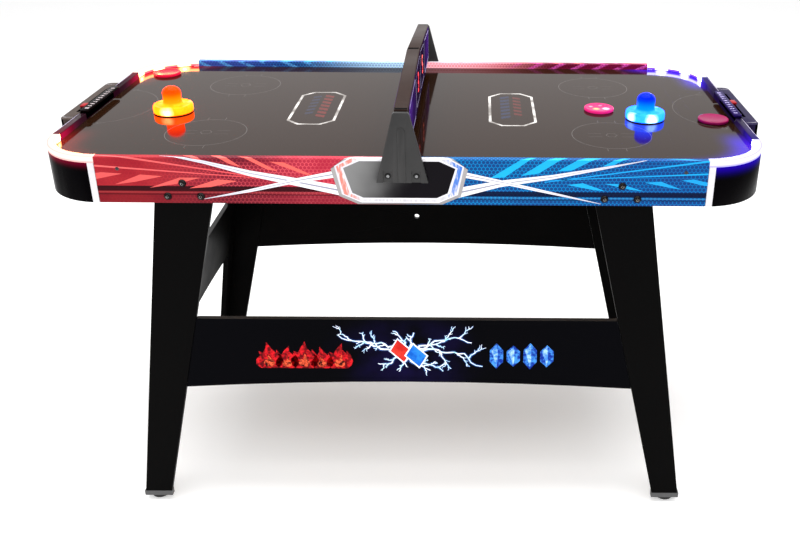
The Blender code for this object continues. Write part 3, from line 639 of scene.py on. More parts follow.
def make_swooshes():
    """Four long silver blades that cross beside the medallion: white, with a grey line down the middle."""
    blades = {
        "falling_left": ([(-0.442, 0.8080), (-0.360, 0.7915), (-0.278, 0.7702), (-0.190, 0.7530),
                          (-0.100, 0.7345)],
                         [0.0008, 0.0060, 0.0112, 0.0155, 0.0200]),
        "rising_right": ([(0.446, 0.8010), (0.372, 0.7860), (0.275, 0.7672), (0.178, 0.7530),
                          (0.095, 0.7330)],
                         [0.0008, 0.0045, 0.0085, 0.0125, 0.0200]),
        "rising_left": ([(-0.367, 0.7190), (-0.281, 0.7362), (-0.195, 0.7566), (-0.110, 0.7725)],
                        [0.0008, 0.0056, 0.0090, 0.0140]),
        "falling_right": ([(0.366, 0.7143), (0.275, 0.7350), (0.190, 0.7545), (0.105, 0.7720)],
                          [0.0008, 0.0046, 0.0070, 0.0110]),
    }
    silver = printed("silver_print", tone(252, 250, 255), tone(222, 222, 236), 0.12, 0.45, roughness=0.2)
    grey = printed("silver_shade", tone(150, 150, 170), tone(196, 194, 212), 0.12, 0.45, roughness=0.2)
    for number, (name, (points, widths)) in enumerate(blades.items()):
        layer = 3 + 2 * (number // 2)
        apron_print(f"silver_{name}", ribbon(points, widths), layer, silver)
        apron_print(f"silver_{name}_shade", ribbon(points, [0.16 * width for width in widths]), layer + 1,
                    grey)


def octagon(half_bottom, half_low, low, half_high, high, half_top, bottom, top):
    right = [(half_bottom, bottom), (half_low, low), (half_high, high), (half_top, top)]
    return right + [(-u, v) for u, v in reversed(right)]


def blend(first, second, share):
    """The outline a share of the way from the first one to the second."""
    return [(u1 + share * (u2 - u1), v1 + share * (v2 - v1)) for (u1, v1), (u2, v2) in zip(first, second)]


def medallion_bevel():
    """Pink on one side and blue on the other, broken by silver glints, and silver in the middle."""
    finish = Surface("medallion_bevel", roughness=0.2, specular=0.1)
    u = finish.along_apron()
    side = finish.mix(finish.ramp(u, -0.02, 0.02), tone(236, 138, 126), tone(78, 128, 214))
    glint = finish.noise(60, 3, (3.2, 1, 0.7))
    side = finish.mix(finish.ramp(glint, 0.46, 0.66), side, tone(246, 240, 244))
    ends = finish.ramp(finish.absolute(u), 0.074, 0.098)
    middle = finish.mix(finish.ramp(glint, 0.3, 0.8), tone(206, 204, 210), tone(244, 242, 248))
    finish.link("Base Color", finish.mix(ends, middle, side))
    return finish


def medallion_panel():
    """A dark panel that fades from grey, lower left, to near-black."""
    finish = Surface("medallion_panel", roughness=0.2, specular=0.06)
    z = finish.position()[3]
    slant = finish.times(finish.add(z, -0.76), -0.6)
    fall = finish.add(finish.along_apron(), slant, finish.times(finish.noise(18, 2), 0.05))
    finish.link("Base Color", finish.mix(finish.ramp(fall, -0.090, 0.050), tone(134, 134, 134),
                                         tone(12, 8, 14)))
    finish.grain(500, 0.00003, 0.3)
    return finish


def make_medallion():
    """The frame behind the bridge's bracket: a grey rim, a white bevel and a dark middle."""
    rim = octagon(0.0778, 0.1121, 0.727, 0.1251, 0.7805, 0.0880, 0.7112, 0.8087)
    outer = octagon(0.0714, 0.1069, 0.7305, 0.1184, 0.7860, 0.0805, 0.7142, 0.8080)
    inner = octagon(0.0677, 0.0878, 0.7335, 0.1024, 0.7820, 0.0727, 0.7238, 0.7960)
    rim, outer, inner = [[(u - 0.0055, v) for u, v in outline] for outline in (rim, outer, inner)]
    bevel_out = blend(outer, inner, 0.20)
    bevel_in = blend(outer, inner, 0.74)
    grey = printed("medallion_rim", tone(132, 128, 130), tone(168, 164, 164), 0.02, 0.12)
    white = printed("medallion_white", tone(246, 244, 248), tone(226, 224, 234), 0.02, 0.12, roughness=0.18)
    bevel = medallion_bevel()
    panel = medallion_panel()
    apron_print("medallion_rim", ring(rim, outer), 8, grey)
    apron_print("medallion_frame", ring(outer, bevel_out) + ring(bevel_in, inner), 9, white)
    apron_print("medallion_bevel", ring(bevel_out, bevel_in), 9, bevel)
    apron_print("medallion_panel", [inner], 9, panel)


def make_apron_screws():
    """Small black countersunk screws in the aprons."""
    finish = moulded("screw_black", tone(20, 18, 20), tone(44, 40, 42), (0.3, 0.45))
    profile = [(0.0, 0.0005), (0.0012, 0.0005), (0.0013, 0.0009), (0.0030, 0.0007), (0.0036, 0.0001),
               (0.0036, -0.0005)]
    for end, sign_y in ENDS.items():
        for side, sign_x in SIDES.items():
            screw = lathe(f"apron_screw_{end}_{side}", profile, finish, segments=24)
            screw.rotation_euler = (-sign_y * math.pi / 2, 0, 0)
            screw.location = (sign_x * 0.519, -sign_y * APRON_FACE, 0.7775)
            place(screw, "table", "black_steel")


# ---------------------------------------------------------------- playfield
HOLE_PITCH = 0.0254
FACE_OFFS = [(x, y) for x in (-0.405, 0.405) for y in (-0.17, 0.17)]
MOTIF_X = 0.210
BAR_PITCH = 0.0235


def make_playfield():
    """Near-black gloss with a grid of air holes."""
    finish = Surface("playfield_gloss", tone(40, 37, 35), roughness=0.06, specular=0.10)
    _, x, y, _ = finish.position()
    clouds = finish.noise(2.2, 3)
    base = finish.mix(clouds, tone(28, 12, 2), tone(38, 22, 14))
    a = finish.math("SUBTRACT", finish.math("FLOORED_MODULO", x, HOLE_PITCH), HOLE_PITCH / 2)
    b = finish.math("SUBTRACT", finish.math("FLOORED_MODULO", y, HOLE_PITCH), HOLE_PITCH / 2)
    away = finish.length(a, b)
    hole = finish.ramp(away, 0.00045, 0.00065, 1.0, 0.0)
    base = finish.mix(hole, base, tone(4, 4, 4))
    finish.link("Base Color", base)
    smudges = finish.ramp(finish.noise(7, 5, (1, 1.6, 1)), 0.35, 0.75, 0.045, 0.11)
    finish.link("Roughness", finish.add(smudges, finish.times(hole, 0.5)))
    finish.bump(finish.inverse(hole), 0.0006, 0.6)
    light_field_corners(finish)
    dress("playfield", finish)
    make_field_marks()


def light_field_corners(finish):
    """The corner lights' red and blue, where they fall on the playfield."""
    _, x, y, _ = finish.position()
    ax = finish.absolute(x)
    ay = finish.absolute(y)
    px = finish.math("MAXIMUM", finish.add(ax, -(JOINT_X - 0.02)), 0.0)
    py = finish.math("MAXIMUM", finish.add(ay, -CORNER_Y), 0.0)
    reach = finish.length(px, py)
    near = finish.ramp(reach, 0.035, INNER_RADIUS + 0.004)
    along = finish.times(finish.ramp(ay, 0.14, CORNER_Y), finish.ramp(ax, JOINT_X - 0.08, JOINT_X))
    right_side = finish.ramp(x, -0.1, 0.1)
    colour = finish.mix(right_side, (0.50, 0.004, 0.010), (0.035, 0.0, 0.9))
    level = finish.mix(right_side, (0.35, 0.35, 0.35), (0.85, 0.85, 0.85))
    finish.glow(colour, finish.times(finish.math("POWER", near, 3.4), along, level))


def make_field_marks():
    """Faint face-off circles, crease lines and two framed motifs."""
    faint = Surface("field_print", tone(92, 86, 82), roughness=0.10, specular=0.11)
    wear = faint.noise(70, 4)
    faint.link("Base Color", faint.mix(wear, tone(50, 46, 44), tone(98, 92, 90)))
    outlines = []
    for cx, cy in FACE_OFFS:
        outlines += ring(circle((cx, cy), 0.0800), circle((cx, cy), 0.0786))
        outlines += ring(circle((cx, cy), 0.0120, 6), circle((cx, cy), 0.0108, 6))
        for sign_x in (-1, 1):
            for sign_y in (-1, 1):
                u = cx + 0.018 * sign_x
                outlines += ribbon([(u, cy + 0.079 * sign_y), (u, cy + 0.093 * sign_y)], [0.0012, 0.0012])
                v = cy + 0.010 * sign_y
                far = cx + 0.046 * sign_x
                outlines += ribbon([(cx + 0.020 * sign_x, v), (far, v)], [0.0009, 0.0009])
    for sign in (-1, 1):
        crease = [(sign * (0.672 - 0.110 * math.cos(math.radians(a))), 0.125 * math.sin(math.radians(a)))
                  for a in range(-75, 76, 10)]
        outlines += ribbon(crease, [0.0012] * len(crease))
        for end in (crease[0], crease[-1]):
            outlines += ring(circle(end, 0.006, 20), circle(end, 0.0048, 20))
    marks("field_lines", outlines, faint, 1)
    silver = Surface("field_silver", tone(180, 176, 172), roughness=0.12, specular=0.15)
    sheen = silver.noise(28, 3)
    silver.link("Base Color", silver.mix(silver.ramp(sheen, 0.35, 0.65), tone(120, 114, 110),
                                         tone(206, 202, 198)))
    red = printed("field_red", tone(98, 30, 26), tone(62, 28, 24), 0.15, 0.28, roughness=0.1, specular=0.1)
    slate = printed("field_slate", tone(30, 38, 66), tone(44, 38, 46), 0.15, 0.28, roughness=0.1,
                    specular=0.1)
    frames = []
    warm = []
    cool = []
    for sign in (-1, 1):
        centre = sign * MOTIF_X
        outer = chamfered(centre, 0.050, 0.117, 0.026)
        inner = chamfered(centre, 0.0445, 0.1115, 0.0235)
        frames += ring(outer, inner)
        for number in range(6):
            v = 0.068 - BAR_PITCH * number
            near, far = centre - 0.004, centre - 0.021
            bar = [(far, v), (near, v + 0.008), (near, v + 0.021), (far, v + 0.013)]
            (warm if sign > 0 else cool).append(turn_shape(bar, centre, sign))
        for number in range(7):
            v = 0.075 - BAR_PITCH * number
            near, far = centre + 0.004, centre + 0.024
            bar = [(near, v + 0.005), (far, v - 0.004), (far, v + 0.011), (near, v + 0.020)]
            (cool if sign > 0 else warm).append(turn_shape(bar, centre, sign))
    marks("motif_frames", frames, silver, 1)
    marks("motif_warm", warm, red, 1)
    marks("motif_cool", cool, slate, 1)


def turn_shape(outline, centre, sign):
    """Mirrors an outline about a centre line where sign is 1."""
    return [(centre - sign * (u - centre), v) for u, v in outline]


def chamfered(centre, half_x, half_y, cut):
    """A tall octagon about (centre, 0)."""
    points = []
    for sign_x, sign_y in ((1, 1), (-1, 1), (-1, -1), (1, -1)):
        side = (centre + sign_x * half_x, sign_y * (half_y - cut))
        end = (centre + sign_x * (half_x - cut), sign_y * half_y)
        points += [side, end] if sign_x == sign_y else [end, side]
    return points


def marks(name, outlines, surface, layer):
    """Print that lies on the playfield."""
    flat_piece(name, outlines, surface, Matrix.Translation((0, 0, FIELD + 0.00005 * layer)),
               "gloss_playfield")


# ---------------------------------------------------------------- corners and end rails
# For each side: the wall between its lights, the wall beside a light, a light, the cover's edges, its middle.
CORNER_GLOW = {
    "left": ((6.0, 0.20, 0.30), (24.0, 9.0, 3.2), (30.0, 16.0, 6.0), (1.12, 0.66, 0.62), (1.22, 1.10, 1.00)),
    "right": ((0.30, 0.10, 4.6), (10.0, 10.0, 20.0), (20.0, 20.0, 30.0), (0.66, 0.60, 1.25),
              (1.10, 1.08, 1.22)),
}
LED_ANGLES = [math.radians(angle) for angle in (6, 39, 72)]


def make_corners():
    for side, sign_x in SIDES.items():
        cover = corner_cover(side)
        shell = corner_shell(side)
        lens = Surface(f"led_lens_{side}", (0.9, 0.9, 0.9), roughness=0.25)
        core = CORNER_GLOW[side][2]
        lens.glow(lens.mix(lens.noise(300, 2), core, scaled(core, 1.3)))
        for end, sign_y in ENDS.items():
            soften(f"corner_light_{end}_{side}", "frosted_light", 0.0016, cover, segments=3)
            soften(f"corner_shell_{end}_{side}", "black_plastic", 0.0008, shell)
            make_beads(end, side, sign_x, sign_y, lens)


def corner_cover(side):
    """Frosted plastic: white light along the rail's top, deep colour on its inner wall, plain on the bands."""
    between, beside, _, edges, middle = CORNER_GLOW[side]
    finish = Surface(f"frosted_cover_{side}", tone(226, 224, 228), specular=0.2)
    finish.vary_roughness(0.3, 0.45, 40)
    _, x, y, z = finish.position()
    px = finish.add(finish.absolute(x), -JOINT_X - GAP)
    py = finish.add(finish.absolute(y), -CORNER_Y - GAP)
    reach = finish.length(px, py)
    inner = finish.ramp(reach, INNER_RADIUS + GAP, INNER_RADIUS + 0.0008, 1.0, 0.0)
    strip = finish.ramp(z, RAIL - 0.0125, RAIL - 0.0115)
    angle = finish.math("ARCTAN2", py, px)
    spots = finish.add(*[finish.band(angle, led, 0.055, 0.110) for led in LED_ANGLES])
    upper = finish.times(finish.ramp(z, RAIL - 0.0085, RAIL - 0.0035), 0.55)
    hot = finish.math("MAXIMUM", spots, upper)
    wall = finish.mix(finish.math("MINIMUM", hot, 1.0), between, beside)
    across = finish.band(reach, INNER_RADIUS + 0.0070, 0.0040, 0.0036)
    outer_edge = finish.ramp(reach, INNER_RADIUS + 0.0140, INNER_RADIUS + 0.0146)
    outer_wall = finish.times(outer_edge, finish.ramp(z, RAIL - 0.0105, RAIL - 0.0070))
    uneven = finish.add(0.78, finish.times(finish.noise(30, 2), 0.4))
    across = finish.math("MAXIMUM", finish.times(across, uneven), outer_wall)
    top = finish.mix(across, edges, middle)
    colour = finish.mix(inner, top, wall)
    finish.glow(colour, strip)
    plain = finish.mix(finish.noise(60, 2), tone(214, 212, 216), tone(234, 232, 236))
    finish.link("Base Color", finish.mix(strip, plain, scaled(between, 0.02)))
    finish.link("Specular IOR Level", finish.ramp(strip, 0.0, 1.0, 0.2, 0.0))
    finish.grain(1500, 0.00003, 0.4)
    return finish


def corner_shell(side):
    finish = Surface(f"corner_shell_{side}", tone(3, 2, 4), specular=0.008)
    finish.vary_roughness(0.22, 0.34, 20)
    finish.link("Base Color", finish.mix(finish.noise(240, 3), tone(2, 1, 2), tone(6, 5, 7)))
    _, _, _, z = finish.position()
    # Painted light: the corner light's spill, red on the left and blue on the right, glows on the black shell
    # just below the light and fades downwards.
    reach, strength = {"left": (0.022, 0.20), "right": (0.032, 0.46)}[side]
    colour = {"left": (1.0, 0.0, 0.10), "right": (0.03, 0.0, 1.0)}[side]
    fall = finish.ramp(z, RAIL - 0.012 - reach, RAIL - 0.010)
    finish.glow(colour, finish.times(finish.math("POWER", fall, 2.4), strength))
    finish.grain(1200, 0.00004, 0.4)
    return finish


def make_beads(end, side, sign_x, sign_y, lens):
    """The lenses of a corner's three lights, half sunk in its inner wall."""
    bm = bmesh.new()
    for angle in LED_ANGLES:
        reach = INNER_RADIUS - 0.0002
        x = JOINT_X + GAP + reach * math.cos(angle)
        y = CORNER_Y + GAP + reach * math.sin(angle)
        turn = Matrix.Rotation(angle, 4, "Z") @ Matrix.Diagonal((0.0016, 0.0048, 0.0036, 1))
        matrix = Matrix.Translation((x, y, FIELD + 0.0070)) @ turn
        bmesh.ops.create_uvsphere(bm, u_segments=16, v_segments=10, radius=1.0, matrix=matrix)
    bm.transform(Matrix.Diagonal((sign_x, sign_y, 1, 1)))
    bmesh.ops.recalc_face_normals(bm, faces=bm.faces)
    for face in bm.faces:
        face.smooth = True
    place(new_object(f"led_lenses_{end}_{side}", bm, lens), "table", "frosted_light")


def make_end_rails():
    """Black gloss that catches its corners' light, with a painted highlight, a pale line, along the outer
    edge.
    """
    for side, sign in SIDES.items():
        finish = Surface(f"end_rail_gloss_{side}", tone(6, 5, 6), specular=0.02)
        finish.vary_roughness(0.16, 0.26, 20)
        _, _, y, z = finish.position()
        near = finish.ramp(finish.absolute(y), 0.060, 0.224)
        wall = finish.ramp(z, RAIL - 0.0006, RAIL - 0.0022, 0.30, 1.0)
        near = finish.times(finish.math("POWER", near, 4.0), wall, finish.ramp(z, RAIL - 0.03, RAIL - 0.012))
        faint = finish.ramp(finish.absolute(y), 0.0, 0.224, 0.014, 0.05)
        colour = {"left": (0.75, 0.006, 0.075), "right": (0.05, 0.006, 0.85)}[side]
        tint = {"left": (0.75, 0.08, 0.30), "right": (0.42, 0.16, 1.6)}[side]
        finish.link("Base Color", finish.mix(finish.noise(180, 2), tone(3, 2, 3), tone(9, 7, 9)))
        finish.glow(finish.mix(finish.math("MINIMUM", finish.times(near, 4.0), 1.0), tint, colour),
                    finish.add(finish.times(near, 0.62), faint))
        soften(f"end_rail_{side}", "black_gloss", 0.0012, finish, segments=3)
        # Painted highlight: a pale line along the rail's outer top edge.
        line = printed(f"rail_edge_painted_highlight_{side}", tone(150, 130, 150), tone(180, 170, 196), 0.6, 0.7)
        outlines = []
        for end in (-1, 1):
            run = [(sign * 0.6842, end * y) for y in (0.095, 0.13, 0.17, 0.215)]
            outlines += ribbon(run, [0.0004, 0.0011, 0.0012, 0.0005])
        on_top = Matrix.Translation((0, 0, RAIL + PRINT_STEP))
        flat_piece(f"rail_edge_painted_highlight_{side}", outlines, line, on_top, "black_gloss")


# ---------------------------------------------------------------- goals
HIGHEST_SCORE = 10
NUMBER_SIZE = 0.0112
NUMBER_PITCH = 0.0146


def make_goals():
    red = moulded("slider_red", tone(130, 6, 16), tone(166, 18, 28), (0.24, 0.34), specular=0.12, grain=1500)
    # Painted light: each side's score strip and numbers are tinted by that side's corner light, faintly red on
    # the left and violet on the right.
    strip_tones_in_painted_light = {"left": (tone(5, 2, 3), tone(14, 6, 8)), "right": (tone(20, 8, 58), tone(34, 16, 84))}
    figure_tones_in_painted_light = {"left": tone(214, 200, 202), "right": tone(196, 184, 236)}
    for side, sign in SIDES.items():
        black = moulded(f"score_plastic_{side}", *strip_tones_in_painted_light[side], (0.22, 0.32), specular=0.03, grain=1500)
        figure = Surface(f"score_numbers_{side}", roughness=0.5, specular=0.05)
        worn = scaled(figure_tones_in_painted_light[side], 0.8)
        figure.link("Base Color", figure.mix(figure.noise(200, 2), figure_tones_in_painted_light[side], worn))
        soften(f"goal_box_{side}", "grey_plastic", 0.0022, goal_plastic(side, sign), segments=3)
        soften(f"score_strip_{side}", "black_plastic", 0.0012, black, segments=3)
        soften(f"score_slider_{side}", "red_plastic", 0.0009, red, segments=3)
        make_numbers(side, sign, figure)
        make_box_details(side, sign, black)


def goal_plastic(side, sign):
    """Charcoal plastic outside, tinted violet by painted light on the right, and painted shade, near black,
    inside the box.
    """
    # Painted light: the right box's charcoal is tinted violet by its blue corner light.
    tints_in_painted_light = {"left": (tone(54, 44, 42), tone(78, 68, 62)), "right": (tone(14, 8, 44), tone(36, 26, 62))}[side]
    finish = Surface(f"goal_plastic_{side}", tints_in_painted_light[0], specular=0.06)
    finish.vary_roughness(0.36, 0.48)
    _, x, y, z = finish.position()
    out = finish.times(x, float(sign))
    # Painted shade: below the lid and within the outer face and ends, the box is near black with no specular.
    inside = finish.times(finish.ramp(z, RAIL - 0.0012, RAIL - 0.0008, 1.0, 0.0),
                          finish.ramp(out, GOAL_OUT - 0.0009, GOAL_OUT - 0.0006, 1.0, 0.0),
                          finish.ramp(finish.absolute(y), 0.1335, 0.1340, 1.0, 0.0))
    outside = finish.mix(finish.noise(40, 4), *tints_in_painted_light)
    finish.link("Base Color", finish.mix(inside, outside, tone(4, 4, 4)))
    finish.link("Specular IOR Level", finish.ramp(inside, 0.0, 1.0, 0.06, 0.0))
    finish.grain(1100, 0.00005)
    return finish


def text_mesh(text, size):
    """The outline of some digits, as a mesh of its own, centred."""
    data = bpy.data.curves.new("digits", "FONT")
    data.body = text
    data.size = size
    data.align_x = "CENTER"
    data.align_y = "CENTER"
    data.resolution_u = 4
    data.offset = 0.0005
    holder = bpy.data.objects.new("digits", data)
    bpy.context.scene.collection.objects.link(holder)
    graph = bpy.context.evaluated_depsgraph_get()
    mesh = bpy.data.meshes.new_from_object(holder.evaluated_get(graph))
    bpy.data.objects.remove(holder, do_unlink=True)
    return mesh


def make_numbers(side, sign, surface):
    """0 to 10 along a score strip, near its inner edge, read from the player's end."""
    low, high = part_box(f"score_strip_{side}")
    inner = min(abs(low.x), abs(high.x))
    bm = bmesh.new()
    for number in range(HIGHEST_SCORE + 1):
        mesh = text_mesh(str(number), NUMBER_SIZE)
        y = sign * (number - HIGHEST_SCORE / 2) * NUMBER_PITCH
        turn = Matrix.Rotation(sign * math.pi / 2, 4, "Z")
        middle = Vector((sign * (inner + 0.0070), y, high.z + FILM_LIFT))
        mesh.transform(Matrix.Translation(middle) @ turn @ Matrix.Diagonal((0.78, 1, 1, 1)))
        bm.from_mesh(mesh)
    place(new_object(f"score_numbers_{side}", bm, surface), "table", "black_plastic")


def make_box_details(side, sign, black):
    """A raised lip round the finger window, and at each end of the lid a black seam with a painted highlight,
    a pale line, along its edge.
    """
    on_lid = Matrix.Translation((0, 0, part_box(f"goal_box_{side}")[1].z + PRINT_STEP))
    charcoal = printed(f"window_lip_{side}", tone(50, 47, 46), tone(60, 56, 55), 0.6, 0.7)
    # pale is a painted highlight along the lid's rounded ends.
    pale = printed(f"lid_edge_painted_highlight_{side}", tone(176, 168, 164), tone(206, 200, 204), 0.6, 0.7)
    bm = bmesh.new()
    flat_shapes(bm, ring(rounded(0.0425, 0.0155, 0.011), rounded(0.0410, 0.0140, 0.010)))
    extrude_up(bm, 0.0005)
    bm.transform(Matrix.Translation((sign * (GOAL_OUT - 0.0006), 0, 0.743))
                 @ Matrix.Rotation(sign * math.pi / 2, 4, "Y") @ Matrix.Rotation(math.pi / 2, 4, "Z"))
    place(new_object(f"window_lip_{side}", bm, charcoal), "table", "grey_plastic")
    seams = []
    edges = []
    for end in (-1, 1):
        for outlines, y, width in ((seams, 0.1180, 0.0026), (edges, 0.1208, 0.0012)):
            run = [(GOAL_OUT - 0.0235, y), (GOAL_OUT - 0.0100, y), (GOAL_OUT - 0.0045, y - 0.0016),
                   (GOAL_OUT - 0.0016, y - 0.0058)]
            outlines += ribbon([(sign * x, end * y) for x, y in run],
                               [0.3 * width, width, width, 0.4 * width])
    for name, outlines, surface in (("seams", seams, black), ("edges", edges, pale)):
        flat_piece(f"lid_{name}_{side}", outlines, surface, on_lid, "black_plastic")


def rounded(half_x, half_y, radius, steps=6):
    points = []
    for quarter, (sign_x, sign_y) in enumerate(((1, 1), (-1, 1), (-1, -1), (1, -1))):
        for step in range(steps + 1):
            angle = math.radians(90 * quarter + 90 * step / steps)
            points.append(
                (sign_x * (half_x - radius) + radius * math.cos(angle),
                 sign_y * (half_y - radius) + radius * math.sin(angle))
            )
    return points


def extrude_up(bm, height):
    """Makes flat shapes into a plate of this thickness."""
    bmesh.ops.remove_doubles(bm, verts=bm.verts, dist=0.00001)
    made = bmesh.ops.extrude_face_region(bm, geom=list(bm.faces))
    raised = [item for item in made["geom"] if isinstance(item, bmesh.types.BMVert)]
    bmesh.ops.translate(bm, verts=raised, vec=(0, 0, height))
    bmesh.ops.recalc_face_normals(bm, faces=bm.faces)


# ---------------------------------------------------------------- score bridge
def make_bridge():
    grey = moulded("bridge_plastic", tone(36, 36, 36), tone(50, 49, 49), (0.34, 0.46), specular=0.3,
                   grain=1100)
    shelf = moulded("bridge_top_plastic", tone(34, 20, 16), tone(48, 33, 28), (0.3, 0.4), specular=0.06,
                    grain=1100)
    for end in ENDS:
        soften(f"score_bridge_{end}", "grey_plastic", 0.0011, shelf)
        soften(f"bridge_bracket_{end}", "grey_plastic", 0.0009, grey)
        make_bracket_screws(end, ENDS[end])
        make_seams(end, ENDS[end])
    film = Surface("display_violet", tone(78, 44, 140), roughness=0.5, specular=0.0)
    _, x, y, _ = film.position()
    away = film.absolute(y)
    colour = film.mix(film.ramp(away, 0.10, 0.30), tone(40, 26, 52), tone(70, 38, 122))
    front = film.ramp(film.absolute(x), 0.0134, 0.0137)
    colour = film.mix(film.ramp(film.noise(16, 3), 0.4, 0.8), colour, tone(34, 14, 60))
    film.link("Base Color", film.mix(front, tone(70, 54, 50), colour))
    film.glow((0.10, 0.03, 0.24), film.times(film.ramp(away, 0.12, 0.33), front, 0.14))
    for side, sign in SIDES.items():
        dress(f"score_display_{side}", film)
        make_display(side, sign)


def make_seams(end, sign_y):
    """Black lines on the beam's top: one where its halves meet, and one at its end, over the bracket, which is
    painted shadow for the gap between beam and bracket.
    """
    black = printed(f"beam_seam_and_shadow_gap_{end}", tone(4, 3, 3), tone(9, 8, 8), 0.0, 0.02, roughness=0.6, specular=0.02)
    low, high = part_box(f"score_bridge_{end}")
    half = high.x - 0.0010
    ends = (abs(low.y), abs(high.y))
    slope = (BRIDGE_MIDDLE_TOP - BRIDGE_END_TOP) / (max(ends) - min(ends))
    bm = bmesh.new()
    # The first pair is the seam where the halves meet; the second is the painted shadow at the beam's end.
    for near, far in ((0.0006, 0.0062), (0.3410, 0.3488)):
        corners = [(-half, near), (half, near), (half, far), (-half, far)]
        heights = [BRIDGE_MIDDLE_TOP - slope * (y - min(ends)) + FILM_LIFT for _, y in corners]
        bm.faces.new([bm.verts.new((x, sign_y * y, z)) for (x, y), z in zip(corners, heights)])
    for face in bm.faces:
        face.normal_update()
        if face.normal.z < 0:
            face.normal_flip()
    place(new_object(f"beam_seams_{end}", bm, black), "table", "grey_plastic")


def make_bracket_screws(end, sign_y):
    """Two cross-head screws in a bracket's recesses, near black, with a painted glint in the middle."""
    steel = Surface("bracket_screw", tone(8, 8, 8), roughness=0.25, specular=0.2)
    _, x, y, _ = steel.position()
    reach = steel.length(x, y)
    # Painted highlight: the bright spot in the middle of each screw.
    head = steel.ramp(reach, 0.0022, 0.0032, 1.0, 0.0)
    bright = steel.mix(steel.noise(500, 2), tone(90, 90, 92), tone(190, 190, 192))
    steel.link("Base Color", steel.mix(head, tone(6, 6, 6), bright))
    profile = [(0.0, 0.0010), (0.0010, 0.0012), (0.0022, 0.0020), (0.0034, 0.0012), (0.0046, 0.0008),
               (0.0060, 0.0002),
               (0.0060, -0.0006)]
    low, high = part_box(f"bridge_bracket_{end}")
    face = max(abs(low.y), abs(high.y)) - 0.0014 - 0.0030
    for side, sign_x in SIDES.items():
        screw = lathe(f"bracket_screw_{end}_{side}", profile, steel, segments=28)
        screw.rotation_euler = (-sign_y * math.pi / 2, 0, 0)
        screw.location = (sign_x * 0.026, sign_y * face, 0.7695)
        place(screw, "table", "black_steel")


SEGMENTS = {
    "a": ((-0.5, 1.0), (0.5, 1.0)), "b": ((0.5, 1.0), (0.5, 0.0)), "c": ((0.5, 0.0), (0.5, -1.0)),
    "d": ((-0.5, -1.0), (0.5, -1.0)), "e": ((-0.5, 0.0), (-0.5, -1.0)), "f": ((-0.5, 1.0), (-0.5, 0.0)),
    "g": ((-0.5, 0.0), (0.5, 0.0)),
}
LIT_SEGMENTS = {"3": "abcdg", "5": "acdfg"}


def make_display(side, sign):
    """Silver outlines and one lit digit for each player, on one face of the bridge."""
    low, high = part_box(f"score_display_{side}")
    face = sign * max(abs(low.x), abs(high.x))
    line = Surface(f"display_line_{side}", tone(206, 196, 232), roughness=0.4, specular=0.0)
    line.link("Base Color", line.mix(line.noise(50, 3), tone(186, 172, 224), tone(228, 222, 246)))
    line.glow((0.7, 0.62, 1.0), 0.06)
    digit = {}
    for name, colour in (("near", (3.2, 0.05, 0.10)), ("far", (3.2, 0.30, 0.12))):
        digit[name] = Surface(f"digit_{name}_{side}", (0.3, 0.01, 0.01), roughness=0.3)
        digit[name].glow(digit[name].mix(digit[name].noise(200, 2), colour, (2.6, 0.16, 0.14)))

    def on_face(bm, layer):
        """Turns shapes drawn as (y, z) onto this face, as someone at this end of the table sees them."""
        out = face + sign * FILM_LIFT * layer
        bm.transform(Matrix(((0, 0, sign, out), (sign, 0, 0, 0), (0, 1, 0, 0), (0, 0, 0, 1))))
        bmesh.ops.recalc_face_normals(bm, faces=bm.faces)
        for piece_face in bm.faces:
            if piece_face.normal.x * sign < 0:
                piece_face.normal_flip()

    bm = bmesh.new()
    for half in (-1, 1):
        outline = [(half * 0.318, 0.822), (half * 0.165, 0.822), (half * 0.142, 0.842), (half * 0.142, 0.870),
                   (half * 0.165, 0.8965), (half * 0.318, 0.8855)]
        closed = outline + outline[:1]
        flat_shapes(bm, ribbon(closed, [0.0026] * len(closed)))
        middle = [(half * 0.118, 0.826), (half * 0.020, 0.826), (half * 0.008, 0.838), (half * 0.008, 0.896),
                  (half * 0.020, 0.9075), (half * 0.118, 0.9000), (half * 0.130, 0.889), (half * 0.130,
                                                                                          0.838),
                  (half * 0.118, 0.826)]
        flat_shapes(bm, ribbon(middle, [0.0016] * len(middle)))
    on_face(bm, 1)
    place(new_object(f"display_lines_{side}", bm, line), "table", "display_film")
    for half, number, name in ((-1, "3", "near"), (1, "5", "far")):
        bm = bmesh.new()
        for letter in LIT_SEGMENTS[number]:
            (u1, v1), (u2, v2) = SEGMENTS[letter]
            a = Vector((u1 * 0.020, v1 * 0.017))
            b = Vector((u2 * 0.020, v2 * 0.017))
            run = (b - a).normalized() * 0.0012
            centre = Vector((sign * half * 0.072, 0.866))
            a = a + run + centre
            b = b - run + centre
            flat_shapes(bm, ribbon([tuple(a), tuple(a + run * 1.8), tuple(b - run * 1.8), tuple(b)],
                                   [0.0010, 0.0064, 0.0064, 0.0010]))
        on_face(bm, 2)
        place(new_object(f"digit_{name}_{side}", bm, digit[name]), "table", "red_plastic")


# ---------------------------------------------------------------- legs and stretchers
def edge_faces(face):
    """1 for a board's top edge, which gets a painted sheen, and 0 elsewhere."""
    return 1 if face.normal.z > 0.7 else 0


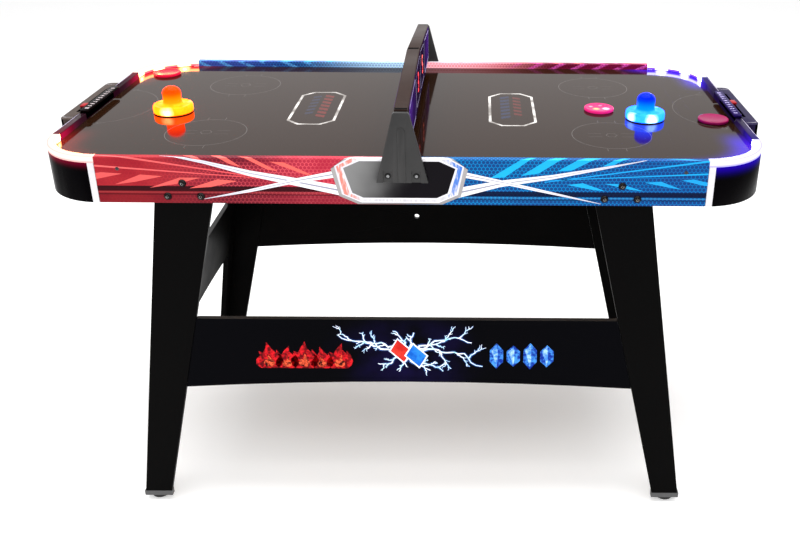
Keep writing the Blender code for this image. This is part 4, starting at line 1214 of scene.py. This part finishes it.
def make_legs():
    board = black_laminate()
    # edge is the laminate with the painted sheen on the boards' top edges.
    edge = edge_band()
    cap = moulded("cap_plastic", tone(78, 78, 79), tone(94, 94, 95), (0.5, 0.6), specular=0.3)
    foot = moulded("foot_plastic", tone(16, 16, 16), tone(28, 28, 28), (0.5, 0.62), specular=0.3)
    bolt = moulded("bolt_black", tone(10, 7, 7), tone(22, 17, 17), (0.22, 0.34), specular=0.12)
    for end, side in CORNERS:
        for part in ("face_board", "side_board"):
            soften(f"leg_{end}_{side}_{part}", "black_laminate", 0.0008, board, edge, choose=edge_faces)
        soften(f"leg_cap_{end}_{side}", "cap_grey", 0.0008, cap)
        dress(f"leveler_{end}_{side}", foot)
        dress(f"leg_bolts_{end}_{side}", bolt)
        make_sockets(end, side)
    for name in ("rear", "left", "right"):
        soften(f"stretcher_{name}", "black_laminate", 0.0009, board, edge, choose=edge_faces)
    make_front_stretcher(edge)


def make_sockets(end, side):
    """The hexagon socket and the washer edge of each dome-head bolt, in bright steel, partly painted highlight
    for the bolt's glint.
    """
    steel = Surface(f"socket_{end}_{side}", tone(160, 158, 156), metallic=0.5, roughness=0.3)
    # Painted highlight: the socket's steel is made bright to give each black bolt its glint.
    steel.link("Base Color", steel.mix(steel.noise(500, 2), tone(120, 116, 114), tone(236, 234, 230)))
    sign_x, sign_y = SIDES[side], ENDS[end]
    bm = bmesh.new()
    top = -APRON_FACE + GAP + BOLT_HEAD
    for x, z in BOLT_PLACES:
        turn = Matrix.Rotation(-sign_y * math.pi / 2, 4, "X")
        matrix = Matrix.Translation((sign_x * x, sign_y * (top - 0.0001), z)) @ turn
        made = bmesh.ops.create_circle(bm, cap_ends=False, segments=6, radius=0.0026, matrix=matrix)
        rim = made["verts"]
        made = bmesh.ops.create_circle(bm, cap_ends=True, segments=6, radius=0.0021, matrix=matrix)
        floor_verts = made["verts"]
        for outer, inner in zip(rim, floor_verts):
            outer.co.y += sign_y * 0.0001
            inner.co.y -= sign_y * 0.0002
        for index in range(6):
            after = (index + 1) % 6
            bm.faces.new((rim[index], rim[after], floor_verts[after], floor_verts[index]))
    bmesh.ops.recalc_face_normals(bm, faces=bm.faces)
    place(new_object(f"bolt_sockets_{end}_{side}", bm, steel), "table", "black_steel")


def make_front_stretcher(edge):
    """Near-black navy laminate, printed with flames, a forked discharge and crystals."""
    ground = Surface("stretcher_print", tone(7, 6, 12), roughness=0.3, specular=0.02)
    _, x, _, z = ground.position()
    near = ground.math("SQRT", ground.add(ground.times(x, x, 0.35),
                                          ground.math("POWER", ground.add(z, -0.372), 2.0)))
    share = ground.ramp(near, 0.0, 0.11, 1.0, 0.0)
    haze = ground.times(share, ground.ramp(ground.noise(11, 4), 0.3, 0.8), 0.55)
    ground.link("Base Color", ground.mix(haze, tone(2, 2, 5), tone(34, 22, 92)))
    ground.grain(900, 0.00004, 0.4)
    soften("stretcher_front", "panel_decal", 0.0009, ground, edge, choose=edge_faces)
    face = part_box("stretcher_front")[0].y
    make_flames(face)
    make_crystals(face)
    make_lightning(face)
    make_emblem(face)


def panel_print(name, outlines, layer, surface, face):
    upright = Matrix.Translation((0, face - PRINT_STEP * layer, 0)) @ Matrix.Rotation(math.pi / 2, 4, "X")
    flat_piece(name, outlines, surface, upright, "panel_decal")


def glowing_print(name, dark, bright, scale, low=0.4, high=0.62, glow=0.0):
    """A print with broken, burning or icy patches."""
    finish = Surface(name, dark, roughness=0.3, specular=0.05)
    patches = finish.ramp(finish.noise(scale, 6, (1, 1, 1), 0.65), low, high)
    colour = finish.mix(patches, dark, bright)
    finish.link("Base Color", colour)
    # Painted light: the print glows, though the panel is no lamp.
    if glow:
        finish.glow(colour, glow)
    finish.grain(900, 0.00003, 0.3)
    return finish


def flame(u, v, size, lean):
    """The outline of one flame tongue, from its foot up to its tip and down again."""
    left = [(-0.30, 0.0), (-0.46, 0.14), (-0.44, 0.34), (-0.30, 0.50), (-0.34, 0.66), (-0.20, 0.60),
            (-0.10, 0.78)]
    tip = [(0.02 + lean, 1.02)]
    right = [(0.10, 0.76), (0.24, 0.60), (0.26, 0.72), (0.40, 0.52), (0.46, 0.30), (0.40, 0.12), (0.26, 0.0)]
    return [(u + size * a, v + size * b) for a, b in left + tip + right]


def flame_heart(u, v, size, lean):
    shape = [(-0.14, 0.06), (-0.20, 0.20), (-0.12, 0.34), (-0.04, 0.30), (0.00 + lean, 0.56), (0.08, 0.34),
             (0.16, 0.26), (0.17, 0.12), (0.08, 0.04)]
    return [(u + size * a, v + size * b) for a, b in shape]


def make_flames(face):
    red = glowing_print("flame_red", tone(90, 4, 12), tone(222, 24, 34), 90, glow=0.12)
    hot = glowing_print("flame_heart", tone(40, 4, 8), tone(255, 98, 60), 120, glow=0.12)
    tongues = []
    hearts = []
    for number in range(5):
        u = -0.281 + 0.0355 * number
        size = (0.060, 0.052, 0.062, 0.050, 0.058)[number]
        lean = (-0.08, 0.10, 0.02, -0.10, 0.08)[number]
        tongues.append(flame(u, 0.340, size, lean))
        hearts.append(flame_heart(u, 0.341, size, lean))
    panel_print("flames", tongues, 2, red, face)
    panel_print("flame_hearts", hearts, 3, hot, face)


def make_crystals(face):
    blue = glowing_print("crystal_blue", tone(14, 44, 150), tone(70, 150, 236), 110, glow=0.12)
    pale = glowing_print("crystal_pale", tone(60, 130, 226), tone(170, 214, 250), 110, glow=0.12)
    body = []
    facets = []
    for number in range(4):
        u = 0.178 + 0.0340 * number
        tall = (0.030, 0.025, 0.031, 0.026)[number]
        wide = 0.0135
        v = 0.371
        body.append([(u, v - tall), (u + wide, v - tall * 0.45), (u + wide, v + tall * 0.45), (u, v + tall),
                     (u - wide, v + tall * 0.45), (u - wide, v - tall * 0.45)])
        facets.append([(u, v - tall * 0.86), (u + wide * 0.16, v - tall * 0.40),
                       (u + wide * 0.16, v + tall * 0.42),
                       (u, v + tall * 0.88), (u - wide * 0.78, v + tall * 0.40), (u - wide * 0.30,
                                                                                  v - tall * 0.30)])
    panel_print("crystals", body, 2, blue, face)
    panel_print("crystal_facets", facets, 3, pale, face)


def bolt_path(draw, start, end, rough, depth=4):
    """A jagged path between two points."""
    points = [Vector(start), Vector(end)]
    for _ in range(depth):
        finer = [points[0]]
        for a, b in zip(points, points[1:]):
            run = b - a
            across = Vector((-run.y, run.x))
            finer.append(a + run * draw.uniform(0.42, 0.58) + across * draw.uniform(-rough, rough))
            finer.append(b)
        points = finer
    return [tuple(point) for point in points]


def make_lightning(face):
    """Forked discharge from the middle: main bolts, each with side branches."""
    draw = random.Random(11)
    core = []
    halo = []
    middle = (0.0, 0.374)
    tips = [(-0.140, 0.419), (-0.104, 0.398), (-0.062, 0.352), (0.128, 0.402), (0.150, 0.346), (0.070, 0.334),
            (0.086, 0.410), (-0.020, 0.333), (0.012, 0.425), (-0.030, 0.428), (0.044, 0.336)]

    def branch(start, end, width, depth):
        points = bolt_path(draw, start, end, 0.17)
        count = len(points)
        widths = [width * (1 - 0.66 * index / (count - 1)) for index in range(count)]
        core.extend(ribbon(points, widths))
        halo.extend(ribbon(points, [wide * 2.2 + 0.0010 for wide in widths]))
        if depth == 0:
            return
        run = Vector(end) - Vector(start)
        for share in (0.45, 0.66, 0.84):
            index = int(share * (count - 1))
            angle = draw.choice((-1, 1)) * draw.uniform(0.5, 1.1)
            reach = run.length * draw.uniform(0.16, 0.34)
            turned = Matrix.Rotation(angle, 2) @ run.normalized()
            tip = Vector(points[index]) + turned * reach
            tip.y = min(max(tip.y, 0.312), 0.440)
            branch(points[index], tuple(tip), width * 0.6, depth - 1)

    for tip in tips:
        branch(middle, tip, 0.0046, 1 if abs(tip[0]) < 0.06 else 2)
    white = glowing_print("lightning_white", tone(190, 226, 244), tone(250, 254, 255), 60, glow=0.35)
    blue = glowing_print("lightning_halo", tone(16, 16, 78), tone(52, 96, 170), 40, glow=0.10)
    panel_print("lightning_halo", halo, 1, blue, face)
    panel_print("lightning", core, 2, white, face)


def make_emblem(face):
    """Two overlapping lozenges in the middle, one red and one blue, each with a pale rim."""
    red = glowing_print("emblem_red", tone(196, 34, 30), tone(238, 66, 52), 30, glow=0.1)
    blue = glowing_print("emblem_blue", tone(16, 92, 196), tone(44, 140, 236), 30, glow=0.1)
    rim = glowing_print("emblem_rim", tone(214, 226, 250), tone(250, 250, 255), 60, glow=0.3)

    def lozenge(u, v, half_u, half_v, lean=0.006):
        return [(u - half_u, v), (u + lean, v - half_v), (u + half_u, v), (u - lean, v + half_v)]

    for number, (u, v, finish) in enumerate(((-0.015, 0.382, red), (0.016, 0.371, blue))):
        panel_print(f"emblem_rim_{number}", [lozenge(u, v, 0.0245, 0.0305)], 5 + 2 * number, rim, face)
        panel_print(f"emblem_{number}", [lozenge(u, v, 0.0205, 0.0260)], 6 + 2 * number, finish, face)


# ---------------------------------------------------------------- air chamber, blower, power
def make_underside():
    board = raw_board()
    for node in ("plenum_base", "support_frame"):
        dress(node, board)
    plastic = moulded("fan_plastic", tone(18, 18, 19), tone(30, 30, 31), (0.4, 0.55))
    for node in ("blower_housing", "blower_impeller"):
        dress(node, plastic)
    gloss = moulded("power_plastic", tone(16, 16, 17), tone(26, 26, 27), (0.3, 0.42))
    dress("power_inlet", gloss)
    soften("power_switch", "black_plastic", 0.0004, gloss)


# ---------------------------------------------------------------- pushers and pucks
GRIP_FOOT = 0.024
BASE_TOP = 0.0178


def lit_plastic(name, crown, neck, base, heart, body, angles):
    """Translucent plastic lit from inside: deepest at the crown, brightest low in the base, with hot spots."""
    finish = Surface(name, body, roughness=0.14, specular=0.03)
    spot, _, _, z = finish.position()
    clouds = finish.ramp(finish.noise(75, 3), 0.38, 0.66)
    grip = finish.mix(finish.ramp(z, GRIP_FOOT - 0.002, GRIP_FOOT + 0.024), neck, crown)
    colour = finish.mix(finish.ramp(z, BASE_TOP, GRIP_FOOT),
                        finish.mix(finish.times(clouds, 0.45), base, neck), grip)
    for number, angle in enumerate(angles):
        middle = (0.039 * math.cos(math.radians(angle)), 0.039 * math.sin(math.radians(angle)), 0.0085)
        away = finish.node("VectorMath", {0: spot, 1: middle}, operation="DISTANCE").outputs["Value"]
        size = 0.0175 - 0.0025 * number
        share = finish.times(finish.ramp(away, 0.10 * size, size, 1.0, 0.0),
                             finish.add(0.62, finish.times(clouds, 0.6)))
        colour = finish.mix(finish.math("MINIMUM", share, 1.0), colour, heart)
    finish.link("Base Color", finish.mix(clouds, body, scaled(body, 0.7)))
    finish.glow(colour, finish.ramp(z, 0.0012, 0.0030, 0.02, 1.0))
    return finish


def make_pushers():
    amber = lit_plastic("amber_lit", (6, 0.06, 0), (9, 0.42, 0.003), (12, 0.84, 0.012), (14, 4.0, 1.2),
                        (0.5, 0.03, 0.0), (-94, 28, 150))
    cyan = lit_plastic("cyan_lit", (0, 0.003, 2.4), (0, 0.36, 7), (0.05, 0.74, 10), (2.4, 4.5, 10),
                       (0.0, 0.02, 0.5), (-78, -146, 40))
    felt = moulded("pusher_felt", tone(24, 22, 24), tone(60, 56, 58), (0.9, 0.97), specular=0.1, grain=2200)
    dome = 0.0150
    grip = 0.0190
    height = 0.0558
    rim = 0.0408
    profile = [(0.0, height)]
    for step in range(1, 13):
        angle = math.radians(90 - 7.5 * step)
        profile.append((grip * math.cos(angle), height - dome + dome * math.sin(angle)))
    profile += [(grip - 0.0006, 0.0330), (grip - 0.0007, 0.0270), (grip - 0.0002, 0.0236),
                (grip + 0.0010, 0.0203),
                (grip + 0.0030, 0.0182), (grip + 0.0055, 0.0170), (rim - 0.0090, 0.0167), (rim - 0.0060,
                                                                                           0.0172),
                (rim - 0.0038, BASE_TOP), (rim - 0.0020, 0.0173), (rim - 0.0008, 0.0158), (rim, 0.0128),
                (rim, 0.0042), (rim - 0.0004, 0.0022), (rim - 0.0014, 0.0012), (0.0330, 0.0012),
                (0.0322, 0.0110), (0.0, 0.0110)]
    pad = [(0.0335, 0.0012), (0.0386, 0.0012), (0.0390, 0.0006), (0.0388, 0.0), (0.0340, 0.0),
           (0.0334, 0.0006),
           (0.0335, 0.0012)]
    for side, finish in (("left", amber), ("right", cyan)):
        centre = underside(f"pusher_{side}")
        pusher = lathe(f"pusher_{side}_lit", profile, finish, centre, 96, 60)
        place(pusher, f"pusher_{side}", f"{'amber' if side == 'left' else 'cyan'}_pusher")
        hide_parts(f"pusher_{side}")
        place(lathe(f"pusher_felt_{side}", pad, felt, centre, 64), f"pusher_{side}", "black_plastic")


def make_pucks():
    profile = [(0.0, 0.0058), (0.0262, 0.0058), (0.0276, 0.0062), (0.0290, 0.0065), (0.0308, 0.0063),
               (0.0318, 0.0054),
               (0.0320, 0.0042), (0.0320, 0.0023), (0.0318, 0.0011), (0.0308, 0.0002), (0.0290, 0.0),
               (0.0276, 0.0003), (0.0262, 0.0007), (0.0, 0.0007)]
    for name in ("lit", "goal", "corner"):
        puck = lathe(f"puck_{name}_finished", profile, puck_plastic(name), underside(f"puck_{name}"), 72, 50)
        place(puck, f"puck_{name}", "puck_plastic")
        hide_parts(f"puck_{name}")


PUCK_COLOURS = {
    "lit": (scaled(tone(214, 20, 92), 0.5), scaled(tone(244, 60, 120), 0.5)),
    "goal": (tone(120, 6, 62), tone(142, 12, 76)),
    "corner": (tone(150, 4, 30), tone(180, 10, 40)),
}


def puck_plastic(name):
    """Translucent red plastic. One puck is lit and one catches a corner's light."""
    finish = Surface(f"puck_{name}", tone(190, 24, 78), roughness=0.22, specular=0.08)
    spot, x, y, _ = finish.position()
    dark, light = PUCK_COLOURS[name]
    finish.link("Base Color", finish.mix(finish.noise(60, 4), dark, light))
    reach = finish.length(x, y)
    rim = finish.ramp(reach, 0.024, 0.031)
    if name == "lit":
        facets = finish.ramp(finish.noise(150, 3), 0.42, 0.6)
        colour = finish.mix(facets, (0.45, 0.006, 0.10), (0.66, 0.05, 0.18))
        colour = finish.mix(rim, colour, (0.60, 0.012, 0.16))
        lights = ((-0.007, -0.011, 0.0105, (3.0, 0.85, 0.22)), (0.014, -0.009, 0.0105, (3.0, 1.3, 1.7)),
                  (-0.017, 0.006, 0.0065, (2.0, 0.6, 0.6)), (0.004, 0.013, 0.006, (1.6, 0.4, 0.5)))
        for px, py, size, glare in lights:
            away = finish.node("VectorMath", {0: spot, 1: (px, py, 0.005)},
                               operation="DISTANCE").outputs["Value"]
            colour = finish.mix(finish.ramp(away, 0.25 * size, size, 1.0, 0.0), colour, glare)
        finish.glow(colour)
    elif name == "corner":
        finish.glow((1.0, 0.01, 0.06), finish.add(0.30, finish.times(rim, 0.25)))
    finish.grain(1600, 0.00003, 0.3)
    return finish


# ---------------------------------------------------------------- all of it
make_camera()
make_studio()
make_playfield()
make_aprons()
make_corners()
make_end_rails()
make_goals()
make_bridge()
make_legs()
make_underside()
make_pushers()
make_pucks()
